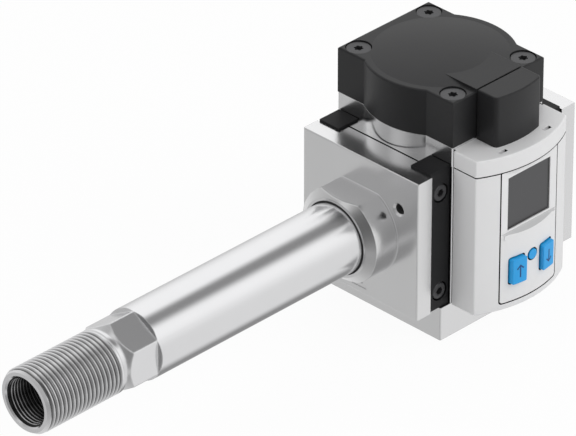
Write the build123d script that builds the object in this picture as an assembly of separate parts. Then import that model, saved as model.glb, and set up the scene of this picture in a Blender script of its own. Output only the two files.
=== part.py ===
from build123d import *
import os
from math import cos, radians, sin, sqrt, tan

# Modular flow sensor with a long screwed inlet tube and a display on the front.
# Frame: X runs along the flow from inlet to outlet, the display looks towards -Y, Z is up.
# Origin: middle of the foot's underside. All lengths in millimetres.

os.makedirs("parts", exist_ok=True)

# Module block
module_size = 62.0
foot_height = 14.8
neck_width = 51.0
bulge_radius = 30.5
collar_height = 8.4
edge_break = 0.4
overlap = 1.0

# Flow path
flow_bore_radius = 8.5
port_minor_radius = 9.32
port_mouth_chamfer = 0.9
port_thread_length = 18.0

# Connection plates
plate_thickness = 13.5
plate_hole_radius = 2.1
plate_hole_depth = 6.5
plate_hole_sink = 0.9
plate_hole_across = 20.6
plate_hole_up = 15.55
joint_line_width = 0.5
joint_line_depth = 1.0

# Boss on the inlet plate
boss_radius = 20.1
boss_length = 14.0
boss_flat_size = 35.0
boss_chamfer_width = 3.4
boss_chamfer_length = 2.6
boss_root_step = 0.4
boss_root_thickness = 0.35

# Inlet tube
tube_radius = 15.0
tube_length = 165.0
tube_bore_radius = 10.5
tube_seat_depth = 19.0
thread_radius = 13.5
thread_tip_radius = 12.25
thread_length = 39.0
thread_lead_in = 1.8
thread_back_chamfer = 0.8
relief_length = 0.8
relief_radius = 12.1
hex_flat_inset = 1.95
hex_length = 15.0
hex_runout = 0.7
hex_chamfer_length = 2.7
seal_ring_gap = 0.6
seal_ring_length = 3.0
tube_fit = 0.05

# Flow straightener
straightener_length = 14.0
straightener_hole_radius = 1.75
straightener_pitch = 4.2
straightener_side_rows = 2
screen_thickness = 0.8
screen_slot = 1.0
screen_slot_pitch = 2.2
screen_side_slots = 3
screen_rim = 1.5
clip_thickness = 1.2
clip_depth = 1.3
clip_groove_depth = 0.6
clip_gap_angle = 30.0
insert_fit = 0.05

# Joint seals
joint_seal_radius = 13.0
joint_seal_section = 1.6

# Clamps over the joints
clamp_half_width = 5.6
clamp_depth = 11.6
clamp_step = 0.7
clamp_fit = 0.1
dovetail_height = 3.5
dovetail_root = 2.6
dovetail_tip = 3.9
clamp_cap = 2.0
clamp_screw_spread = 44.6
clamp_screw_drop = 0.9
clamp_screw_head_radius = 3.6
clamp_screw_head_clearance = 0.5
clamp_screw_head_length = 3.2
clamp_screw_shank_radius = 2.0
clamp_screw_sink = 0.2
clamp_screw_socket = 3.0
clamp_screw_socket_depth = 1.8
screw_clearance = 0.15
screw_end_gap = 1.0

# Sensor in the block
pocket_radius = 22.0
pocket_floor_drop = 14.8
holder_stem_radius = 7.9
holder_stem_fit = 0.05
holder_screw_margin = 2.5
holder_flange_thickness = 4.0
holder_drop_in = 1.0
holder_groove_depth = 1.2
holder_groove_width = 1.8
holder_groove_below = 4.0
element_width = 6.0
element_thickness = 1.0
element_reach = 8.0
lead_radius = 0.4
lead_pitch = 2.54
lead_count = 4
lead_sink = 2.0
holder_screw_pitch = 21.0
m3_radius = 1.5
m3_head_radius = 2.75
m3_head_height = 1.8
m3_socket = 2.0
m3_socket_depth = 0.9
holder_screw_length = 8.0

# Electronics above the sensor
board_radius = 21.3
board_thickness = 1.6
standoff_radius = 2.5
standoff_circle = 17.8
standoff_height = 20.0
standoff_bolt_radius = 1.1
board_screw_head_radius = 2.2
board_screw_head_height = 1.5
board_screw_socket = 1.5
board_screw_socket_depth = 0.8
chip_size = 9.0
chip_height = 1.4
chip_offset = 9.0

# Top cover
cover_height = 20.0
cover_roof = 3.2
cover_edge = 0.8
dome_base_radius = 27.4
dome_rise = 2.3
ramp_half_width = 12.6
ramp_rise = 1.2
ramp_length = 21.0
cover_screw_across = 19.75
cover_screw_along = 25.3
cover_screw_head_radius = 4.9
cover_screw_clearance = 0.35
cover_screw_head_height = 2.6
cover_screw_sink = 0.5
cover_screw_shank_radius = 2.0
cover_screw_grip = 11.0
cover_screw_socket_radius = 1.95
cover_screw_socket_depth = 1.6
star_core_share = 0.78
star_lobe_share = 0.28
star_lobes = 6
cover_seal_radius = 24.0
cover_seal_width = 1.6
cover_seal_height = 1.4
seal_groove_fit = 0.1
cable_slot_half_width = 7.0
cable_slot_height = 6.0
cable_slot_rise = 5.0

# Cable bridge between the cover and the display
bridge_gap = 0.5
bridge_apex = 12.4
bridge_bow_radius = 43.5
bridge_wall = 2.0
bridge_edge = 2.0
bridge_top_edge = 0.6

# Display housing
housing_apex = 19.5
housing_bow_radius = 50.0
housing_wall = 2.2
housing_back_wall = 2.0
housing_edge = 0.8
cap_height = 7.1
cap_drop = 0.9
cap_skirt_height = 3.0
cap_skirt_wall = 1.4
cap_skirt_fit = 0.1
cap_edge = 0.6
parting_height = 0.5
parting_depth = 1.2
parting_stop = 0.5
latch_length = 4.0
latch_width = 1.6
latch_depth = 1.2
latch_start_depth = 0.3
latch_across = 12.4
latch_inset = 5.3
post_radius = 2.6
post_across = 18.2
post_low = 6.8
post_high = 56.4
housing_screw_across = 13.5
housing_screw_low = 14.5
housing_screw_high = 48.0
housing_screw_length = 8.0

# Front panel
panel_half_width = 16.0
panel_gap = 0.25
panel_low = 2.4
panel_corner = 1.5
panel_wall = 2.2
panel_flange = 1.6
panel_flange_thickness = 1.2
sill_height = 34.0
sill_slope = 31.0
sill_reach = 4.0
panel_zone_depth = 10.5
window_depth = 2.5
window_half_width = 11.9
window_height = 23.5
window_above_sill = 0.8
pad_wall = 2.2
pad_margin = 2.4

# Display stack
lens_margin = 1.3
lens_thickness = 1.0
lens_sink = 0.4
lens_fit = 0.1
lcd_thickness = 2.75
stack_gap = 0.05
light_block_thickness = 3.9
display_board_half_width = 20.5
display_board_low = 4.4
display_board_high = 60.4
board_screw_length = 4.0

# Buttons
button_across = 8.1
button_up = 16.5
button_width = 7.0
button_height = 11.2
button_proud = 2.0
button_clearance = 0.3
button_edge = 0.7
button_front_edge = 0.4
button_flange = 1.0
edit_flange = 0.8
button_flange_thickness = 1.0
button_flange_gap = 0.25
button_stem = 4.0
button_stem_length = 4.0
edit_up = 20.2
edit_radius = 2.2
edit_proud = 0.35
edit_stem_radius = 1.5
switch_size = 6.0
switch_height = 3.4
switch_plunger_radius = 1.7
switch_plunger_height = 0.9
button_travel = 0.6
button_stop_gap = 0.35

# Ribbon cable
ribbon_width = 10.0
ribbon_thickness = 0.4
ribbon_bend = 2.0
ribbon_start = 10.0
ribbon_end_drop = 14.0

# Electrical connector at the rear
connector_drop = 11.2
connector_thread_radius = 6.0
connector_thread_length = 10.0
connector_flange_size = 14.0
connector_flange_thickness = 2.2
connector_bore_radius = 4.3
connector_bore_depth = 8.0
connector_tail_radius = 6.0
connector_fit = 0.05
insert_length = 7.0
pin_radius = 0.5
pin_circle_radius = 2.75
pin_length = 12.0
pin_count = 4
pin_start_angle = 45.0
pin_tail = 2.0
key_width = 1.0
key_gap = 0.2
key_setback = 1.0
connector_seal_radius = 6.9
connector_seal_section = 0.7

# Levels and planes that follow from the sizes above
half = module_size / 2
neck_half = neck_width / 2
axis_z = foot_height + half
ledge_z = foot_height + module_size
collar_z = ledge_z + collar_height
cover_z = collar_z + cover_height
front_y = -half
plate_face_x = -half - plate_thickness
boss_face_x = plate_face_x - boss_length
tube_tip_x = boss_face_x - tube_length
tube_end_x = boss_face_x + tube_seat_depth
thread_end_x = tube_tip_x + thread_length + thread_lead_in
hex_front_x = thread_end_x + relief_length
hex_back_x = hex_front_x + hex_length
clamp_floor = half - clamp_depth
clamp_face = half - clamp_step
pocket_floor_z = ledge_z - pocket_floor_drop
holder_flange_radius = holder_screw_pitch / 2 + holder_screw_margin
board_z = pocket_floor_z + standoff_height
dome_radius = (dome_base_radius**2 + dome_rise**2) / (2 * dome_rise)
cap_top_z = collar_z - cap_drop
cap_z = cap_top_z - cap_height
housing_apex_y = front_y - housing_apex
panel_zone_y = housing_apex_y + panel_zone_depth
panel_z = foot_height + panel_low
panel_top_z = cap_z - panel_gap
sill_z = foot_height + sill_height
window_y = housing_apex_y + window_depth
window_z = sill_z + window_above_sill
window_top_z = window_z + window_height
pad_back_y = window_y + pad_wall
lens_back_y = pad_back_y + stack_gap + lens_thickness
lcd_front_y = lens_back_y + stack_gap
lcd_back_y = lcd_front_y + lcd_thickness
light_front_y = lcd_back_y + stack_gap
display_board_front_y = light_front_y + light_block_thickness
display_board_back_y = display_board_front_y + board_thickness
housing_inner_back_y = front_y - housing_back_wall
post_levels = (foot_height + post_low, foot_height + post_high)
housing_screw_levels = (foot_height + housing_screw_low, foot_height + housing_screw_high)
button_z = foot_height + button_up
edit_z = foot_height + edit_up
switch_front_y = display_board_front_y - switch_height - switch_plunger_height
button_stem_y = switch_front_y - button_travel - button_stop_gap
cable_slot_z = collar_z + cable_slot_rise
cable_mid_z = cable_slot_z + cable_slot_height / 2
connector_z = collar_z - connector_drop
connector_mouth_y = half + connector_flange_thickness + connector_thread_length


def block(x_limits, y_limits, z_limits):
    """Rectangular solid between three pairs of limits."""
    sizes = [high - low for low, high in (x_limits, y_limits, z_limits)]
    middles = [(high + low) / 2 for low, high in (x_limits, y_limits, z_limits)]
    return Pos(*middles) * Box(*sizes)


def rod_x(radius, start, end, y=0.0, z=axis_z):
    """Round solid along X."""
    middle = (start + end) / 2
    return Pos(middle, y, z) * Rot(0, 90, 0) * Cylinder(radius, end - start)


def rod_y(radius, start, end, x=0.0, z=axis_z):
    """Round solid along Y."""
    middle = (start + end) / 2
    return Pos(x, middle, z) * Rot(90, 0, 0) * Cylinder(radius, end - start)


def rod_z(radius, start, end, x=0.0, y=0.0):
    """Round solid along Z."""
    return Pos(x, y, (start + end) / 2) * Cylinder(radius, end - start)


def ring_x(inner, outer, start, end):
    """Round tube along the flow axis."""
    return rod_x(outer, start, end) - rod_x(inner, start, end)


def ring_z(inner, outer, low, high):
    """Round tube along the block's upright axis."""
    return rod_z(outer, low, high) - rod_z(inner, low, high)


def turned_x(points):
    """Solid turned about the flow axis from (x, radius) points."""
    profile = make_face(Polyline([(x, radius) for x, radius in points], close=True))
    return Pos(0, 0, axis_z) * Rot(90, 0, 0) * revolve(profile, Axis.X, 360)


def hex_prism(size, length):
    """Hexagon across its flats, standing on the origin along Z."""
    return extrude(RegularPolygon(size / 2, 6, major_radius=False), length)


def upright(face, low, high):
    """Flat outline in the XY plane raised between two levels."""
    return extrude(Pos(0, 0, low) * face, high - low)


def bowed_face(half_width, back, apex, radius):
    """Outline with a straight back, straight sides and a front bowed towards -Y."""
    side = apex + radius - sqrt(radius**2 - half_width**2)
    straight = Polyline((-half_width, side), (-half_width, back), (half_width, back), (half_width, side))
    front = ThreePointArc((half_width, side), (0, apex), (-half_width, side))
    return make_face(straight + front)


def neck_face(inset=0.0):
    """Outline shared by the collar and the cover: a rectangle with a round bulge on both sides."""
    plain = Rectangle(neck_width - 2 * inset, module_size - 2 * inset)
    return plain + Circle(bulge_radius - inset)


def corners(across, along):
    """The four mirrored places of a point."""
    return [(x, y) for x in (-across, across) for y in (-along, along)]


def write(name, shape):
    export_step(shape, f"parts/{name}.step")


# Block and plates

def dovetail(joint_x, side, grow=0.0):
    """Dovetail rib over one joint, on the front (-1) or the rear (+1), ending under the clamp's top."""
    root, tip = dovetail_root + grow, dovetail_tip + grow
    low, high = clamp_floor - overlap, clamp_floor + dovetail_height + grow
    outline = Polyline(
        (joint_x - root, side * low),
        (joint_x - tip, side * high),
        (joint_x + tip, side * high),
        (joint_x + root, side * low),
        close=True,
    )
    return upright(make_face(outline), foot_height, ledge_z - clamp_cap + grow)


def clamp_notch(joint_x, side):
    """Room for one clamp, less the rib that it grips."""
    near, far = sorted((side * clamp_floor, side * (half + overlap)))
    room = block(
        (joint_x - clamp_half_width - clamp_fit, joint_x + clamp_half_width + clamp_fit),
        (near, far),
        (foot_height, ledge_z),
    )
    return room - dovetail(joint_x, side)


def joint_notches(joint_x):
    return clamp_notch(joint_x, -1) + clamp_notch(joint_x, 1)


def main_body():
    """Metal block with foot, clamp flanges, collar, flow bore and sensor pocket."""
    body = block((-half, half), (-half, half), (0, ledge_z))
    body = chamfer(body.edges().filter_by(Axis.Z), edge_break)
    body -= joint_notches(-half)
    body -= joint_notches(half)
    body += upright(neck_face(), ledge_z, collar_z)
    body -= rod_x(flow_bore_radius, -half, half)
    for side in (-1, 1):
        near, far = sorted((side * (half - joint_seal_section), side * half))
        body -= ring_x(joint_seal_radius, joint_seal_radius + joint_seal_section, near, far)
    body -= rod_z(pocket_radius, pocket_floor_z, collar_z)
    body -= rod_z(holder_stem_radius + holder_stem_fit, axis_z, pocket_floor_z)
    groove_half = cover_seal_width / 2 + seal_groove_fit
    groove_sides = (cover_seal_radius - groove_half, cover_seal_radius + groove_half)
    body -= ring_z(*groove_sides, collar_z - cover_seal_height, collar_z)
    for x, y in corners(cover_screw_across, cover_screw_along):
        body -= rod_z(cover_screw_shank_radius, collar_z - cover_screw_grip - screw_end_gap, collar_z, x, y)
    for y in (-holder_screw_pitch / 2, holder_screw_pitch / 2):
        body -= rod_z(m3_radius, pocket_floor_z - holder_screw_length, pocket_floor_z, 0, y)
    for x, z in housing_screw_places():
        body -= rod_y(m3_radius, front_y, front_y + housing_screw_length, x, z)
    body -= rod_y(connector_tail_radius + connector_fit, 0, half, 0, connector_z)
    ring_seat = connector_seal_radius + connector_seal_section
    body -= rod_y(ring_seat, half - connector_seal_section, half, 0, connector_z)
    return body


def plate_blank(face_x, joint_x):
    """Square connection plate with its clamp flanges."""
    low, high = sorted((face_x, joint_x))
    plate = block((low, high), (-half, half), (foot_height, ledge_z))
    outer = plate.faces().sort_by(Axis.X)[0 if face_x < joint_x else -1]
    plate = chamfer(outer.edges(), edge_break)
    return plate - joint_notches(joint_x) - joint_line(joint_x, -1 if face_x < joint_x else 1)


def joint_line(joint_x, side):
    """Narrow rebate round a plate where it meets the block."""
    limits = sorted((joint_x, joint_x + side * joint_line_width))
    outer, inner = half + overlap, half - joint_line_depth
    around = block(limits, (-outer, outer), (axis_z - outer, axis_z + outer))
    return around - block(limits, (-inner, inner), (axis_z - inner, axis_z + inner))


def inlet_boss():
    """Round boss with a flat on top and underneath, a chamfered front and a low step at its root."""
    back_x = plate_face_x + overlap
    boss = turned_x([
        (back_x, 0),
        (back_x, boss_radius),
        (boss_face_x + boss_chamfer_length, boss_radius),
        (boss_face_x, boss_radius - boss_chamfer_width),
        (boss_face_x, 0),
    ])
    reach = boss_flat_size / 2
    boss &= block((boss_face_x, back_x), (-half, half), (axis_z - reach, axis_z + reach))
    step_reach = reach + boss_root_step
    step = rod_x(boss_radius + boss_root_step, plate_face_x - boss_root_thickness, back_x)
    step &= block((boss_face_x, back_x), (-half, half), (axis_z - step_reach, axis_z + step_reach))
    return boss + step


def inlet_plate():
    """Inlet plate with the boss that holds the tube."""
    plate = plate_blank(plate_face_x, -half) + inlet_boss()
    plate -= rod_x(tube_radius + tube_fit, boss_face_x, tube_end_x)
    plate -= rod_x(tube_radius + seal_ring_gap, boss_face_x, boss_face_x + seal_ring_length)
    plate -= rod_x(flow_bore_radius, tube_end_x, -half)
    for side in (-1, 1):
        y, z = side * plate_hole_across, axis_z - side * plate_hole_up
        plate -= rod_x(plate_hole_radius, plate_face_x, plate_face_x + plate_hole_depth, y, z)
        sink = Pos(plate_face_x + plate_hole_sink / 2, y, z) * Rot(0, 90, 0)
        plate -= sink * Cone(plate_hole_radius + plate_hole_sink, plate_hole_radius, plate_hole_sink)
    return plate


def outlet_plate():
    """Outlet plate with a plain face and a female port."""
    face_x = -plate_face_x
    plate = plate_blank(face_x, half)
    mouth = Pos(face_x - port_mouth_chamfer / 2, 0, axis_z) * Rot(0, 90, 0)
    plate -= rod_x(port_minor_radius, half, face_x)
    plate -= mouth * Cone(port_minor_radius, port_minor_radius + port_mouth_chamfer, port_mouth_chamfer)
    for side in (-1, 1):
        y, z = side * plate_hole_across, axis_z - side * plate_hole_up
        plate -= rod_x(plate_hole_radius, face_x - plate_hole_depth, face_x, y, z)
        sink = Pos(face_x - plate_hole_sink / 2, y, z) * Rot(0, 90, 0)
        plate -= sink * Cone(plate_hole_radius, plate_hole_radius + plate_hole_sink, plate_hole_sink)
    return plate


def joint_seal(joint_x, side):
    middle = joint_x - side * joint_seal_section / 2
    ring = Torus(joint_seal_radius + joint_seal_section / 2, joint_seal_section / 2)
    return Pos(middle, 0, axis_z) * Rot(0, 90, 0) * ring


# Inlet tube

def hex_flat_cutter():
    """Cutter for one spanner flat: level along the flat, then rising out through a ramp."""
    depth = tube_radius - hex_flat_inset
    clear = tube_radius + overlap
    rise = (clear - depth) * hex_runout / hex_flat_inset
    outline = Polyline(
        (hex_front_x, depth),
        (hex_back_x, depth),
        (hex_back_x + rise, clear),
        (hex_front_x, clear),
        close=True,
    )
    return extrude(make_face(outline), tube_radius, both=True)


def inlet_tube():
    """Turned tube: male thread with a female port inside, relief neck, spanner hexagon, smooth barrel."""
    outside = turned_x([
        (tube_tip_x, 0),
        (tube_tip_x, thread_tip_radius),
        (tube_tip_x + thread_lead_in, thread_radius),
        (thread_end_x - thread_back_chamfer, thread_radius),
        (thread_end_x, relief_radius),
        (hex_front_x, relief_radius),
        (hex_front_x + hex_chamfer_length, tube_radius),
        (tube_end_x, tube_radius),
        (tube_end_x, 0),
    ])
    flat = hex_flat_cutter()
    for step in range(6):
        outside -= Pos(0, 0, axis_z) * Rot(60 * step, 0, 0) * flat
    port_end_x = tube_tip_x + port_thread_length
    barrel_x = hex_front_x
    bore = turned_x([
        (tube_tip_x, 0),
        (tube_tip_x, port_minor_radius + port_mouth_chamfer),
        (tube_tip_x + port_mouth_chamfer, port_minor_radius),
        (port_end_x, port_minor_radius),
        (port_end_x, flow_bore_radius),
        (barrel_x, flow_bore_radius),
        (barrel_x + tube_bore_radius - flow_bore_radius, tube_bore_radius),
        (tube_end_x, tube_bore_radius),
        (tube_end_x, 0),
    ])
    tube = outside - bore
    return tube - clip_groove()


def straightener_start():
    return hex_back_x + hex_runout + tube_bore_radius


def clip_start():
    return straightener_start() + straightener_length + 2 * screen_thickness


def clip_groove():
    start = clip_start()
    inside = tube_bore_radius - overlap
    return ring_x(inside, tube_bore_radius + clip_groove_depth, start, start + clip_thickness)


def tube_seal_ring():
    """Thin ring between the tube and the mouth of the boss."""
    return ring_x(tube_radius, tube_radius + seal_ring_gap, boss_face_x, boss_face_x + seal_ring_length)


def flow_straightener():
    """Disc of parallel round channels laid out in a hexagonal pattern."""
    start = straightener_start() + screen_thickness
    end = start + straightener_length
    core = rod_x(tube_bore_radius - insert_fit, start, end)
    row_rise = straightener_pitch * sin(radians(60))
    for row in range(-straightener_side_rows, straightener_side_rows + 1):
        gaps = 2 * straightener_side_rows - abs(row)
        for column in range(gaps + 1):
            across = (column - gaps / 2) * straightener_pitch
            core -= rod_x(straightener_hole_radius, start, end, across, axis_z + row * row_rise)
    return core


def flow_screens():
    """Slotted screens on both sides of the straightener."""
    start = straightener_start()
    after = start + screen_thickness + straightener_length
    screens = []
    for low in (start, after):
        screen = rod_x(tube_bore_radius - insert_fit, low, low + screen_thickness)
        for count in range(-screen_side_slots, screen_side_slots + 1):
            y = count * screen_slot_pitch
            reach = sqrt((tube_bore_radius - screen_rim)**2 - y**2)
            limits = (axis_z - reach, axis_z + reach)
            screen -= block((low, low + screen_thickness), (y - screen_slot / 2, y + screen_slot / 2), limits)
        screens.append(screen)
    return Compound(children=screens)


def retaining_clip():
    """Spring clip in its groove, open at the bottom."""
    start = clip_start()
    end = start + clip_thickness
    outer = tube_bore_radius + clip_groove_depth - insert_fit
    clip = ring_x(outer - clip_depth - clip_groove_depth, outer, start + insert_fit, end - insert_fit)
    gap = outer * sin(radians(clip_gap_angle / 2))
    return clip - block((start, end), (-gap, gap), (axis_z - outer, axis_z))


# Clamps

def joint_clamp(joint_x, side):
    """Clamp that slides over the dovetail ribs of two neighbours and is drawn tight by two screws."""
    near, far = sorted((side * (clamp_floor + clamp_fit), side * clamp_face))
    sides = (joint_x - clamp_half_width, joint_x + clamp_half_width)
    clamp = block(sides, (near, far), (foot_height, ledge_z))
    outer = clamp.faces().sort_by(Axis.Y)[0 if side < 0 else -1]
    clamp = chamfer(outer.edges(), edge_break)
    clamp -= dovetail(joint_x, side, clamp_fit)
    seat = clamp_face - clamp_screw_sink - clamp_screw_head_length
    tip = clamp_floor + dovetail_height
    recess = clamp_screw_head_radius + clamp_screw_head_clearance
    for z in clamp_screw_levels():
        clamp -= rod_y(recess, *sorted((side * seat, side * half)), joint_x, z)
        clamp -= rod_y(clamp_screw_shank_radius, *sorted((side * tip, side * seat)), joint_x, z)
    return clamp


def clamp_screw_levels():
    middle = axis_z - clamp_screw_drop
    return middle - clamp_screw_spread / 2, middle + clamp_screw_spread / 2


def clamp_screw(joint_x, side, z):
    face = clamp_face - clamp_screw_sink
    seat = face - clamp_screw_head_length
    tip = clamp_floor + dovetail_height
    head = rod_y(clamp_screw_head_radius, *sorted((side * seat, side * face)), joint_x, z)
    outer = head.faces().sort_by(Axis.Y)[0 if side < 0 else -1]
    head = chamfer(outer.edges(), edge_break)
    screw = head + rod_y(clamp_screw_shank_radius, *sorted((side * tip, side * seat)), joint_x, z)
    socket = hex_prism(clamp_screw_socket, clamp_screw_socket_depth)
    return screw - Pos(joint_x, side * face, z) * Rot(90 * side, 0, 0) * socket


def clamp_screws():
    places = [(x, side, z) for x in (-half, half) for side in (-1, 1) for z in clamp_screw_levels()]
    return Compound(children=[clamp_screw(*place) for place in places])


# Sensor and electronics

def holder_bottom():
    return axis_z + flow_bore_radius - holder_drop_in


def sensor_holder():
    """Flanged plug that carries the sensing element into the flow, with a groove for its ring."""
    top = pocket_floor_z + holder_flange_thickness
    holder = rod_z(holder_stem_radius, holder_bottom(), pocket_floor_z)
    holder += rod_z(holder_flange_radius, pocket_floor_z, top)
    groove_z = pocket_floor_z - holder_groove_below
    groove_inside = holder_stem_radius - holder_groove_depth
    holder -= ring_z(groove_inside, holder_stem_radius, groove_z, groove_z + holder_groove_width)
    for y in (-holder_screw_pitch / 2, holder_screw_pitch / 2):
        holder -= rod_z(m3_radius + screw_clearance, pocket_floor_z, top, 0, y)
    for x in lead_places():
        holder -= rod_z(lead_radius, top - lead_sink, top, x)
    return holder


def lead_places():
    return [(count - (lead_count - 1) / 2) * lead_pitch for count in range(lead_count)]


def sensor_element():
    """Heated film blade across the flow."""
    widths = (-element_width / 2, element_width / 2)
    depths = (-element_thickness / 2, element_thickness / 2)
    blade = block(widths, depths, (holder_bottom() - element_reach, holder_bottom()))
    return fillet(blade.edges().filter_by(Axis.Z), element_thickness / 4)


def sensor_leads():
    top = pocket_floor_z + holder_flange_thickness
    return Compound(children=[rod_z(lead_radius, top - lead_sink, board_z, x) for x in lead_places()])


def holder_seal():
    section = (holder_groove_depth + holder_stem_fit) / 2
    middle = pocket_floor_z - holder_groove_below + holder_groove_width / 2
    return Pos(0, 0, middle) * Torus(holder_stem_radius + holder_stem_fit - section, section)


def m3_screw(length):
    """Low-headed screw along Z with its head's seat at the origin."""
    screw = rod_z(m3_head_radius, 0, m3_head_height) + rod_z(m3_radius, -length, 0)
    return screw - Pos(0, 0, m3_head_height - m3_socket_depth) * hex_prism(m3_socket, m3_socket_depth)


def holder_screws():
    top = pocket_floor_z + holder_flange_thickness
    length = holder_flange_thickness + holder_screw_length - screw_end_gap
    places = [Pos(0, y, top) for y in (-holder_screw_pitch / 2, holder_screw_pitch / 2)]
    return Compound(children=[place * m3_screw(length) for place in places])


def standoff_places():
    reach = standoff_circle * cos(radians(45))
    return corners(reach, reach)


def board_standoffs():
    pillars = []
    for x, y in standoff_places():
        pillar = rod_z(standoff_radius, pocket_floor_z, board_z, x, y)
        pillars.append(pillar - rod_z(standoff_bolt_radius, board_z - board_screw_length, board_z, x, y))
    return Compound(children=pillars)


def main_board():
    """Round circuit board with its main chip."""
    board = rod_z(board_radius, board_z, board_z + board_thickness)
    for x, y in standoff_places():
        board -= rod_z(standoff_bolt_radius + screw_clearance, board_z, board_z + board_thickness, x, y)
    top = board_z + board_thickness
    chip = block((-chip_size / 2, chip_size / 2), (-chip_size / 2, chip_size / 2), (top, top + chip_height))
    return board + Pos(0, chip_offset, 0) * chip


def board_screw(length):
    """Small pan-headed screw along Z with its head's seat at the origin."""
    screw = rod_z(board_screw_head_radius, 0, board_screw_head_height)
    screw += rod_z(standoff_bolt_radius, -length, 0)
    socket = hex_prism(board_screw_socket, board_screw_socket_depth)
    return screw - Pos(0, 0, board_screw_head_height - board_screw_socket_depth) * socket


def board_screws():
    top = board_z + board_thickness
    return Compound(children=[Pos(x, y, top) * board_screw(board_screw_length) for x, y in standoff_places()])


# Top cover and cable bridge

def cover_seal():
    """Square-section ring in the collar's groove."""
    inner, outer = cover_seal_radius - cover_seal_width / 2, cover_seal_radius + cover_seal_width / 2
    return ring_z(inner, outer, collar_z - cover_seal_height, collar_z)


def dome():
    """Shallow spherical crown on the cover."""
    rim = Line((0, 0), (dome_base_radius, 0))
    half_chord = dome_base_radius / 2
    middle_rise = sqrt(dome_radius**2 - half_chord**2) - (dome_radius - dome_rise)
    crown = ThreePointArc((dome_base_radius, 0), (half_chord, middle_rise), (0, dome_rise))
    axis_line = Line((0, dome_rise), (0, 0))
    profile = make_face(rim + crown + axis_line)
    return Pos(0, 0, cover_z) * Rot(90, 0, 0) * revolve(profile, Axis.Y, 360)


def top_cover():
    """Moulded cover: bulged outline, shallow crown, raised ramp to the front and sunk screw seats."""
    cover = upright(neck_face(), collar_z, cover_z)
    cover = fillet(cover.faces().sort_by(Axis.Z)[-1].edges(), cover_edge)
    cover += dome()
    ramp_sides = (-ramp_half_width, ramp_half_width)
    cover += block(ramp_sides, (front_y, front_y + ramp_length), (cover_z - cover_roof, cover_z + ramp_rise))
    cover -= rod_z(pocket_radius, collar_z, cover_z - cover_roof)
    slot_sides = (-cable_slot_half_width, cable_slot_half_width)
    cover -= block(slot_sides, (front_y, 0), (cable_slot_z, cable_slot_z + cable_slot_height))
    seat = cover_z - cover_screw_sink - cover_screw_head_height
    for x, y in corners(cover_screw_across, cover_screw_along):
        cover -= rod_z(cover_screw_head_radius + cover_screw_clearance, seat, cover_z + ramp_rise, x, y)
        cover -= rod_z(cover_screw_shank_radius + screw_clearance, collar_z, seat, x, y)
    return cover


def star_face(radius):
    """Lobed driver recess."""
    lobe = radius * star_lobe_share
    star = Circle(radius * star_core_share)
    for place in PolarLocations(radius - lobe, star_lobes):
        star += place * Circle(lobe)
    return star


def cover_screw():
    """Flat-headed screw with a star recess, its head's face at the origin."""
    length = cover_height - cover_screw_sink - cover_screw_head_height + cover_screw_grip
    head = rod_z(cover_screw_head_radius, -cover_screw_head_height, 0)
    tip = -cover_screw_head_height - length
    screw = head + rod_z(cover_screw_shank_radius, tip, -cover_screw_head_height)
    recess = upright(star_face(cover_screw_socket_radius), -cover_screw_socket_depth, 0)
    return screw - recess


def cover_screws():
    screw = Pos(0, 0, cover_z - cover_screw_sink) * cover_screw()
    places = corners(cover_screw_across, cover_screw_along)
    return Compound(children=[Pos(x, y, 0) * screw for x, y in places])


def cable_bridge():
    """Hollow block that hides the cable on its way from the cover to the display."""
    back = front_y - bridge_gap
    apex = front_y - bridge_apex
    top = cover_z + ramp_rise
    shell = upright(bowed_face(ramp_half_width, back, apex, bridge_bow_radius), cap_top_z, top)
    shell = fillet(shell.edges().filter_by(Axis.Z).group_by(Axis.Y)[0], bridge_edge)
    shell = fillet(shell.faces().sort_by(Axis.Z)[-1].edges(), bridge_top_edge)
    hollow = bowed_face(
        ramp_half_width - bridge_wall,
        back - bridge_wall,
        apex + bridge_wall,
        bridge_bow_radius - bridge_wall,
    )
    shell -= upright(hollow, cap_top_z, top - bridge_wall)
    slot_sides = (-cable_slot_half_width, cable_slot_half_width)
    slot_levels = (cable_slot_z, cable_slot_z + cable_slot_height)
    return shell - block(slot_sides, (back - 2 * bridge_wall, back), slot_levels)


# Display housing

def housing_outline(inset=0.0, back_inset=0.0):
    """Outline of the display housing, optionally moved inwards."""
    return bowed_face(
        neck_half - inset,
        front_y - back_inset,
        housing_apex_y + inset,
        housing_bow_radius - inset,
    )


def post_places():
    return [(x, z) for x in (-post_across, post_across) for z in post_levels]


def housing_screw_places():
    return [(x, z) for x in (-housing_screw_across, housing_screw_across) for z in housing_screw_levels]


def display_housing():
    """Moulded shell with a bowed front, open on top and cut out for the front panel."""
    shell = upright(housing_outline(), foot_height, cap_z)
    shell = fillet(shell.edges().filter_by(Axis.Z).group_by(Axis.Y)[0], housing_edge)
    rebate = housing_outline(-overlap) - housing_outline(parting_depth)
    rebate_zone = block((-half, half), (housing_apex_y - overlap, front_y - parting_stop), (0, cap_z))
    shell -= upright(rebate, cap_z - parting_height, cap_z) & rebate_zone
    shell -= upright(housing_outline(housing_wall, housing_back_wall), foot_height + housing_wall, cap_z)
    opening_z = (panel_z + cap_z + panel_corner) / 2
    opening = RectangleRounded(2 * panel_half_width, cap_z + panel_corner - panel_z, panel_corner)
    shell -= extrude(Pos(0, panel_zone_y, opening_z) * Rot(90, 0, 0) * opening, panel_zone_depth + overlap)
    for x, z in post_places():
        shell += rod_y(post_radius, display_board_back_y, housing_inner_back_y, x, z)
    for x, z in post_places():
        shell -= rod_y(standoff_bolt_radius, display_board_back_y, housing_inner_back_y, x, z)
    for x, z in housing_screw_places():
        shell -= rod_y(m3_radius + screw_clearance, housing_inner_back_y, front_y, x, z)
    return shell


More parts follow.
